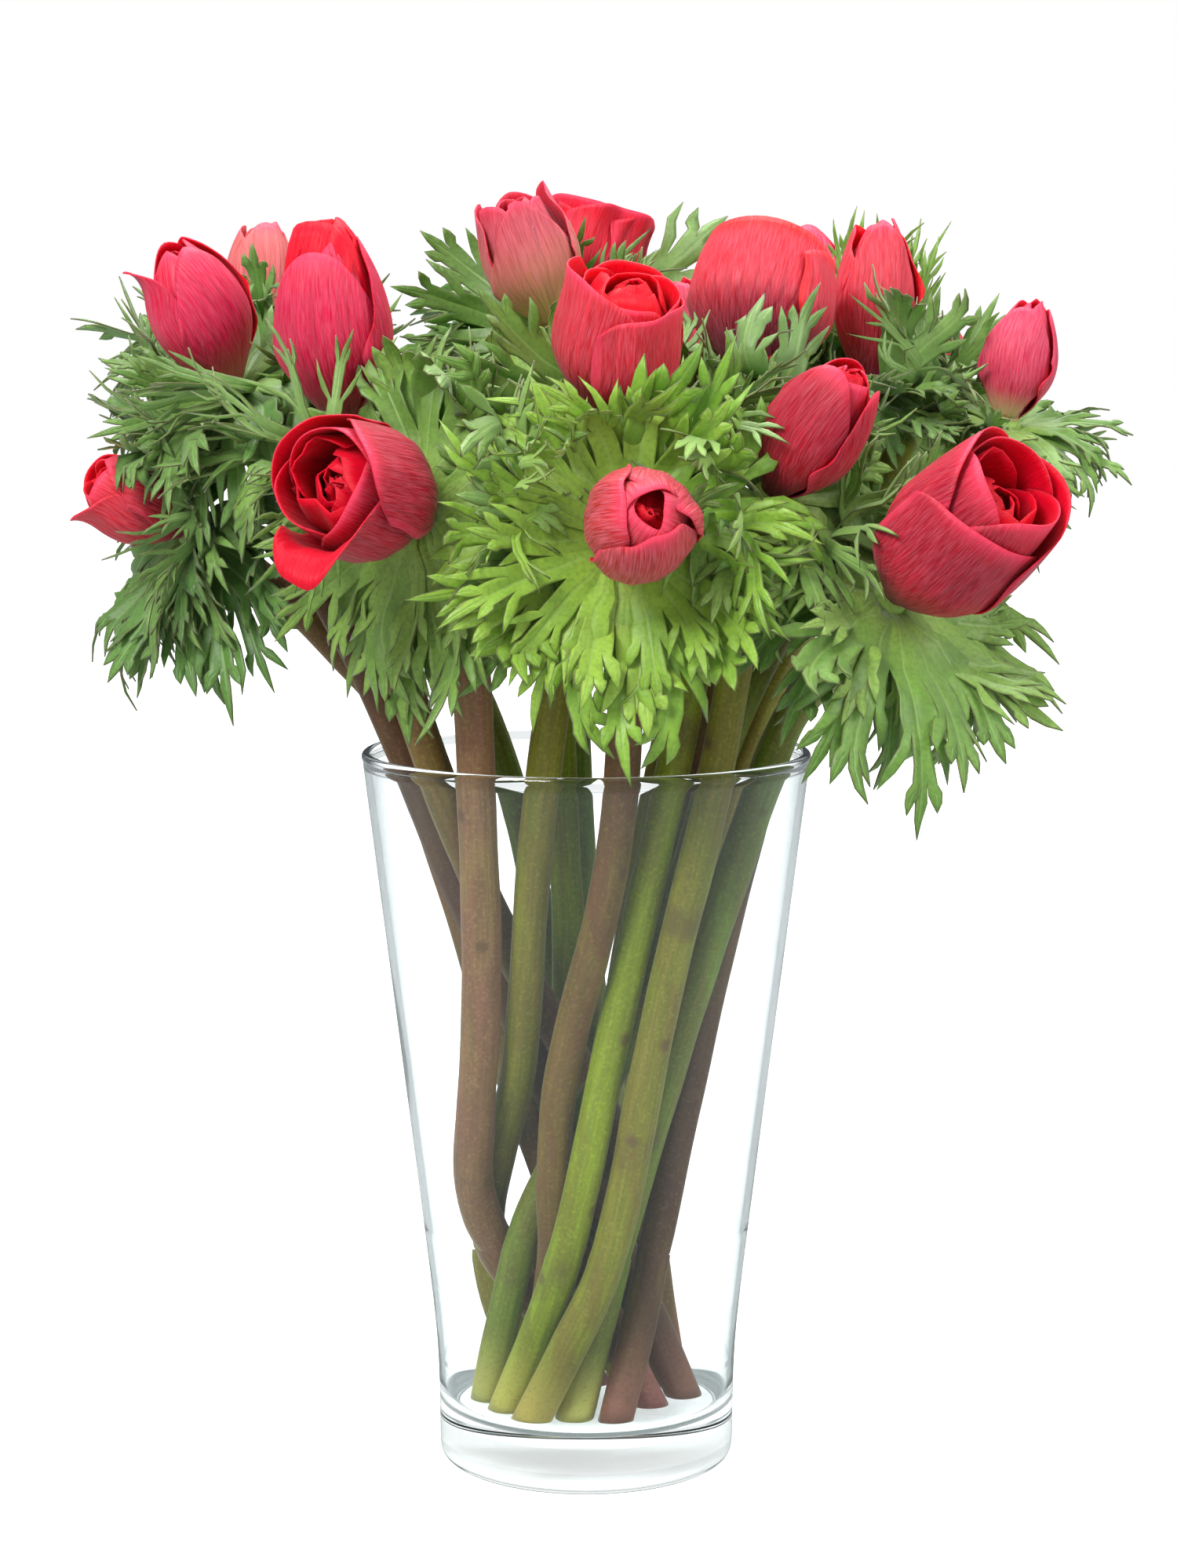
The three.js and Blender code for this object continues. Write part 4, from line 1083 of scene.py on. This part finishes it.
# The blooms: silky red cups and buds of overlapping petals on a small green seat. The outer ones
# are downy and darker, the inner ones are furled, bright and smooth.

PETAL_THICKNESS = 0.0004
PLEAT_PITCH = 0.0010
PETAL_PLEAT = 0.00016
PETAL_LAP = 0.0008
PETAL_EDGE = 0.0005
PETAL_RIDGE = 0.0004
LEAST_RADIUS = 0.0012
RING_PETALS = 3
PETAL_BREADTH = 1.22
LAYER_INSETS = [0.0, 0.0021]
INNER_INSET = 0.0036
RING_INSET = 0.0021
ROOMY_HALF = 0.013
HALF_OPEN = 0.3
SEAT_SIDES = 20
PETAL_SEED = 900
PETAL_MARKS = ["across", "along", "inside", "tone"]


def petal_cut(columns, rows):
    """How a petal's sheet is divided, its triangles, and the faces of its blade."""
    starts = [row * columns + k for row in range(rows - 1) for k in range(columns - 1)]
    faces = [(v, v + 1, v + columns + 1, v + columns) for v in starts]
    return (columns, rows), triangles_of(faces), closed(faces, columns * rows)


outer_cut = petal_cut(23, 21)
inner_cut = petal_cut(13, 15)


def petal_points(flower, vary, grid, bearing, width, reach, inset, mouth, point, curl,
                 ripple=0.0003, lean=0.0):
    """One petal's sheet: the bud's own form, cut to a petal's outline and given its own hang."""
    u = np.linspace(-1, 1, grid[0])[None]
    v = np.linspace(0, 1, grid[1])[:, None]
    cut = 0.14 + 0.36 * point
    power = 2.6 - 1.3 * point
    share = v * (1 - cut * np.abs(u) ** power * v ** 0.7)
    swell = np.clip(v / 0.55, 0, 1)
    broadening = 0.30 + 0.70 * swell * swell * (3 - 2 * swell)
    half_width = width / 2 * broadening * (1 - 0.18 * point * v ** 3)
    rooted = np.clip(share / 0.3, 0, 1)
    waves = (np.sin(u * vary(3, 5) + vary(0, 6.3))
             + 0.6 * np.sin(u * vary(8, 11) + v * 3 + vary(0, 6.3)))
    pleats = np.sin(u * width / 2 / PLEAT_PITCH + vary(0, 6.3))
    ridge = (PETAL_RIDGE * np.exp(-(u / 0.12) ** 2) * np.sin(math.pi * share)
             + PETAL_PLEAT * pleats * np.sin(math.pi * share ** 0.8))
    rim = np.clip((np.abs(u) - 0.7) / 0.3, 0, 1) ** 2
    radius = bud_radius(flower["width"] / 2, mouth, share)
    radius = np.maximum(radius - inset * rooted, LEAST_RADIUS) + PETAL_LAP * u * rooted - ridge
    radius = radius + ripple * waves * share ** 1.5
    radius = radius + PETAL_EDGE * rim * rooted * np.sin(v * 9 + vary(0, 6.3))
    tip = np.clip((share - 0.68) / 0.32, 0, 1)
    radius = radius + curl * tip ** 2
    height = share * reach * flower["length"] - 0.35 * abs(curl) * tip ** 3
    angles = u * half_width / np.maximum(radius, 0.0035) + math.radians(bearing) + lean * share
    out = np.cos(angles)[..., None] * flower["side"] + np.sin(angles)[..., None] * flower["up"]
    seat = flower["hub"] + flower["axis"] * HUB_HEIGHT / 2
    points = seat + out * radius[..., None] + flower["axis"] * height[..., None]
    uv = np.stack([u * half_width + bearing * 0.01, share * flower["length"]], axis=-1)
    across = np.broadcast_to(np.abs(u), share.shape)
    return points.reshape(-1, 3), across.ravel(), share.ravel(), uv.reshape(-1, 2)


# How each bloom is set: its colours, where its first outer petal faces, how pointed its petals
# are, how drawn in its mouth is, and what differs in its first, other outer, and inner petals
BLOOM_WAYS = [
    ("crimson", (-1, -0.35, 0.1), (0.7, 1.0), 0.72,
     dict(first=dict(curl=0.010, lean=0.1), others=dict(lean=0.35))),
    ("salmon", (0.4, -1, 0), (0.4, 0.8), 0.9, dict(others=dict(ripple=0.0008))),
    ("crimson", (-0.25, -1, 0), (0.5, 0.9), 0.9,
     dict(first=dict(reach=0.88), others=dict(reach=0.92, lean=0.2),
          inner=dict(reach=1.06, ripple=0.0012, mouth=0.6))),
    ("streaked", (0, -1, 0), (0.7, 1.0), 1.1, dict(others=dict(curl=0.003, ripple=0.001))),
    ("scarlet", (0.7, -1, 0), (0.0, 0.2), 1.1,
     dict(tall=0.86, others=dict(curl=0.003, ripple=0.0015))),
    ("coral", (-1, -0.5, 0), (0.1, 0.5), 0.85,
     dict(tall=0.95, first=dict(curl=0.003, reach=1.03),
          others=dict(reach=0.9, curl=0.003, ripple=0.0009),
          inner=dict(reach=0.96, ripple=0.0016))),
    ("orange", (-0.3, -1, 0), (0.0, 0.15), 0.85,
     dict(tall=0.84, first=dict(width=1.3, reach=1.0, ripple=0.0004), others=dict(reach=0.93))),
    ("coral", (0.1, -1, 0), (0.7, 0.95), 0.8, dict(others=dict(ripple=0.0012))),
    ("rose", (0.2, -1, 0), (0.6, 1.0), 0.7, dict(others=dict(lean=0.3))),
    ("rose", (-0.2, -1, 0), (0.6, 1.0), 0.7, dict(others=dict(lean=0.3))),
    ("shaded_wine", (-0.5, -1, 0), (0.4, 0.8), 0.85,
     dict(first=dict(reach=0.94), others=dict(reach=0.92, lean=0.3),
          inner=dict(reach=0.98, ripple=0.0014))),
    ("scarlet", (0, -1, 0), (0.3, 0.8), 0.8, {}),
    ("rose", (-0.1, -1, 0), (0.6, 0.95), 0.7, dict(tall=0.9, others=dict(lean=0.25))),
    ("shaded_wine", (-0.2, -1, -0.7), (0.1, 0.4), 1.0,
     dict(first=dict(reach=0.84, width=1.15), others=dict(reach=1.0),
          inner=dict(reach=0.95, ripple=0.0012))),
    ("dusky", (0.3, -0.3, -1), (0.2, 0.6), 1.12,
     dict(others=dict(curl=-0.002, ripple=0.0007),
          inner=dict(reach=0.98, ripple=0.0012, mouth=0.18))),
    ("shaded_wine", (-0.2, -0.3, -1), (0.1, 0.5), 0.95,
     dict(first=dict(curl=0.013, reach=1.12, ripple=0.0008, width=0.9),
          others=dict(reach=0.95, curl=0.001), inner=dict(reach=0.92, ripple=0.002))),
    ("coral", (-0.3, -0.4, -1), (0.3, 0.7), 0.85,
     dict(tall=0.84, first=dict(curl=0.005, reach=1.04), others=dict(reach=0.95, ripple=0.0007))),
]


def petal_plan(index, vary):
    """The petals of one bloom from the outside in, each with its own bearing, size and set."""
    flower = FLOWERS[index]
    _, front, points, pinch, ways = BLOOM_WAYS[index]
    half = flower["width"] / 2
    wide = 2 * math.pi * half / RING_PETALS * PETAL_BREADTH
    third = 360 / RING_PETALS
    own = mouth_of(flower) * pinch
    turn = math.degrees(math.atan2(front @ flower["up"], front @ flower["side"]))
    plan = []
    for layer, inset in enumerate(LAYER_INSETS):
        for k in range(RING_PETALS):
            petal = dict(bearing=turn + third / 2 * layer + third * k + vary(-7, 7),
                         width=wide * vary(0.9, 1.05), reach=vary(0.93, 1.02),
                         inset=inset, mouth=own * (vary(0.97, 1.03) - 0.05 * layer),
                         point=vary(*points), curl=vary(-0.0005, 0.0012), deep=0.0)
            petal.update(ways.get("others", {}))
            if layer == 0 and k == 0:
                first = ways.get("first", {})
                petal.update({**first, "width": wide * first.get("width", 1.0)})
            plan.append(petal)
    for ring in range(3 if flower["open"] < HALF_OPEN else 4):
        for k in range(RING_PETALS):
            petal = dict(bearing=turn + 25 + third / 3 * ring + third * k + vary(-16, 16),
                         width=wide * (0.86 - 0.16 * ring) * vary(0.85, 1.1),
                         reach=vary(0.90, 0.97),
                         inset=(INNER_INSET + RING_INSET * ring) * min(1.0, half / ROOMY_HALF),
                         mouth=max(own * (0.84 - 0.18 * ring), 0.22), point=vary(0.1, 0.6),
                         curl=vary(-0.002, 0.001), ripple=0.0008, deep=1.0)
            petal.update(ways.get("inner", {}))
            petal["reach"] = petal["reach"] * vary(0.93, 1.0) - 0.045 * ring
            plan.append(petal)
    for petal in plan:
        petal["reach"] *= ways.get("tall", 1.0)
    return plan


# Petal skin: lengthwise veins and pale down outside, plain bright silk inside
petal_skin, enter, leave = new_group(
    "petal_skin",
    ["Outer Colour", "Base Colour", "Inner Colour", "Down Colour", "Rim And Edge Light Colour", "Place",
     "Across And Along", "Across", "Along", "Inside", "Tone", "Down", "Base Height"],
    ["Colour", "Height"])
outer, inner, along, place = (enter[label] for label in
                              ("Outer Colour", "Inner Colour", "Along", "Place"))
lines, broad = lines_along(enter["Across And Along"], 2700.0, 0.06)
bent_across = add_node(petal_skin, "ShaderNodeMath", {
    0: noise(place, 150.0, 2.0), 1: 0.09, 2: enter["Across"],
}, operation="MULTIPLY_ADD").outputs[0]
vein_place = add_node(petal_skin, "ShaderNodeCombineXYZ", {"X": bent_across, "Y": enter["Tone"]})
ripples = add_node(petal_skin, "ShaderNodeTexWave", {
    "Vector": vein_place.outputs[0], "Scale": 2.6, "Distortion": 0.0,
}).outputs["Fac"]
veins = times(between(ripples, 0.70, 1.0), between(along, 1.0, 0.35, 0.15, 1.0))
darker = blended(1.0, outer, (0.50, 0.30, 0.38, 1), "MULTIPLY")
veined = layered(outer, (times(broad, 0.45), darker),
                 (times(veins, 0.55), darker))
# The rim colour laid along the edges and over the top: partly the rim's own colour, partly a
# painted highlight where light catches the petal's edge
rim_and_edge_light = combined("MAXIMUM", between(enter["Across"], 0.84, 1.0, 0.0, 0.6),
                  between(along, 0.86, 1.0, 0.0, 0.8))
outside = layered(
    mottle(veined, inner, place, 55.0, times(enter["Tone"], 0.35)),
    (between(along, 0.78, 1.0, 0.0, 0.4), inner),
    (between(along, enter["Base Height"], 0.02, 0.0, 0.9), enter["Base Colour"]),
    (times(lines, enter["Down"]), enter["Down Colour"]),
    (rim_and_edge_light, enter["Rim And Edge Light Colour"]),
)
silk = layered(
    inner,
    (times(lines, 0.35), blended(1.0, inner, (0.55, 0.3, 0.35, 1), "MULTIPLY")),
    (between(along, 0.3, 0.05, 0.0, 0.8), (0.05, 0.004, 0.02, 1)),
)
petal_skin.links.new(blended(enter["Inside"], outside, silk), leave["Colour"])
grooves = combined("ADD", times(broad, 0.8), veins)
petal_skin.links.new(combined("SUBTRACT", times(lines, 0.4), grooves), leave["Height"])


def petal_material(name, outer, base, inner, down, base_height=0.3, rim=paint(226, 60, 92)):
    """Silky petal skin with a velvet sheen."""
    material, tree = new_material(name)
    across, along, inside, tone = mesh_marks(tree, PETAL_MARKS)
    skin = add_node(tree, "ShaderNodeGroup", {
        "Outer Colour": outer, "Base Colour": base, "Inner Colour": inner,
        "Down Colour": paint(238, 132, 152), "Rim And Edge Light Colour": rim,
        "Place": object_place(tree), "Across And Along": wide_place(tree), "Across": across,
        "Along": along, "Inside": inside, "Tone": tone, "Down": down, "Base Height": base_height,
    }, node_tree=petal_skin).outputs
    grown_surface(tree, skin["Colour"], skin["Height"], 0.5, {
        "Roughness": 0.46, "Specular IOR Level": 0.24,
        "Sheen Weight": 0.1, "Sheen Roughness": 0.35, "Sheen Tint": (1.0, 0.6, 0.68, 1),
        "Subsurface Weight": 0.2, "Subsurface Radius": (1.0, 0.15, 0.12),
        "Subsurface Scale": 0.0015,
    })
    return material


# Outer side, its base and the inner side; how much down, how high the base reaches, and the rim,
# whose paler colour is partly a painted highlight along the petals' edges
petal_skins = {look: petal_material(f"petal_{look}", *colours) for look, *colours in [
    ("crimson", paint(208, 16, 70), paint(172, 80, 92), paint(222, 2, 38), 0.20),
    # The wine outer side and base are darker partly as the blooms' own deeper red and partly as
    # painted shade on the low blooms that face down
    ("shaded_wine", paint(164, 8, 38), paint(116, 22, 46), paint(214, 2, 38), 0.18),
    ("rose", paint(214, 54, 90), paint(200, 184, 136), paint(222, 20, 56), 0.34),
    ("coral", paint(212, 40, 56), paint(150, 30, 58), paint(228, 10, 36), 0.25),
    ("dusky", paint(176, 42, 42), paint(128, 58, 56), paint(204, 12, 34), 0.36),
    ("salmon", paint(212, 106, 100), paint(206, 178, 124), paint(216, 86, 90), 0.22, 0.5),
    ("streaked", paint(202, 82, 94), paint(186, 158, 102), paint(212, 56, 80), 0.36, 0.85),
    ("scarlet", paint(220, 16, 46), paint(128, 22, 44), paint(230, 2, 36), 0.14),
    ("orange", paint(222, 42, 58), paint(44, 4, 32), paint(234, 30, 26), 0.22, 0.72,
     paint(250, 18, 10)),
]}
SEAT_PROFILE = [(0, 0.0012), (0.0028, 0.0012), (0.0036, 0.0022), (0.0038, 0.0034),
                (0.0030, 0.0046), (0, 0.0050)]
for index, number in enumerate(numbers):
    flower = FLOWERS[index]
    vary = np.random.default_rng(PETAL_SEED + index).uniform
    parts = []
    for petal in petal_plan(index, vary):
        deep = petal.pop("deep")
        grid, triangles, blade = inner_cut if deep else outer_cut
        sheet, across, along, uv = petal_points(flower, vary, grid, **petal)
        marks = [np.tile(across, 2), np.tile(along, 2), np.repeat([1.0, deep], len(sheet)),
                 np.full(2 * len(sheet), vary(0, 1)), np.tile(uv, (2, 1))]
        parts.append((thickened(sheet, triangles, PETAL_THICKNESS), blade, marks))
    seat, seat_faces = on_axis(flower, SEAT_PROFILE, SEAT_SIDES)
    seat_marks = [np.zeros(len(seat))] * len(PETAL_MARKS) + [seat[:, :2]]
    points, faces, marks = joined([*parts, (seat, seat_faces, seat_marks)])
    add_piece(f"petals_{number}", points, faces, petal_skins[BLOOM_WAYS[index][0]], "petal",
              f"bloom_{number}", dict(zip(PETAL_MARKS, marks)), marks[-1])
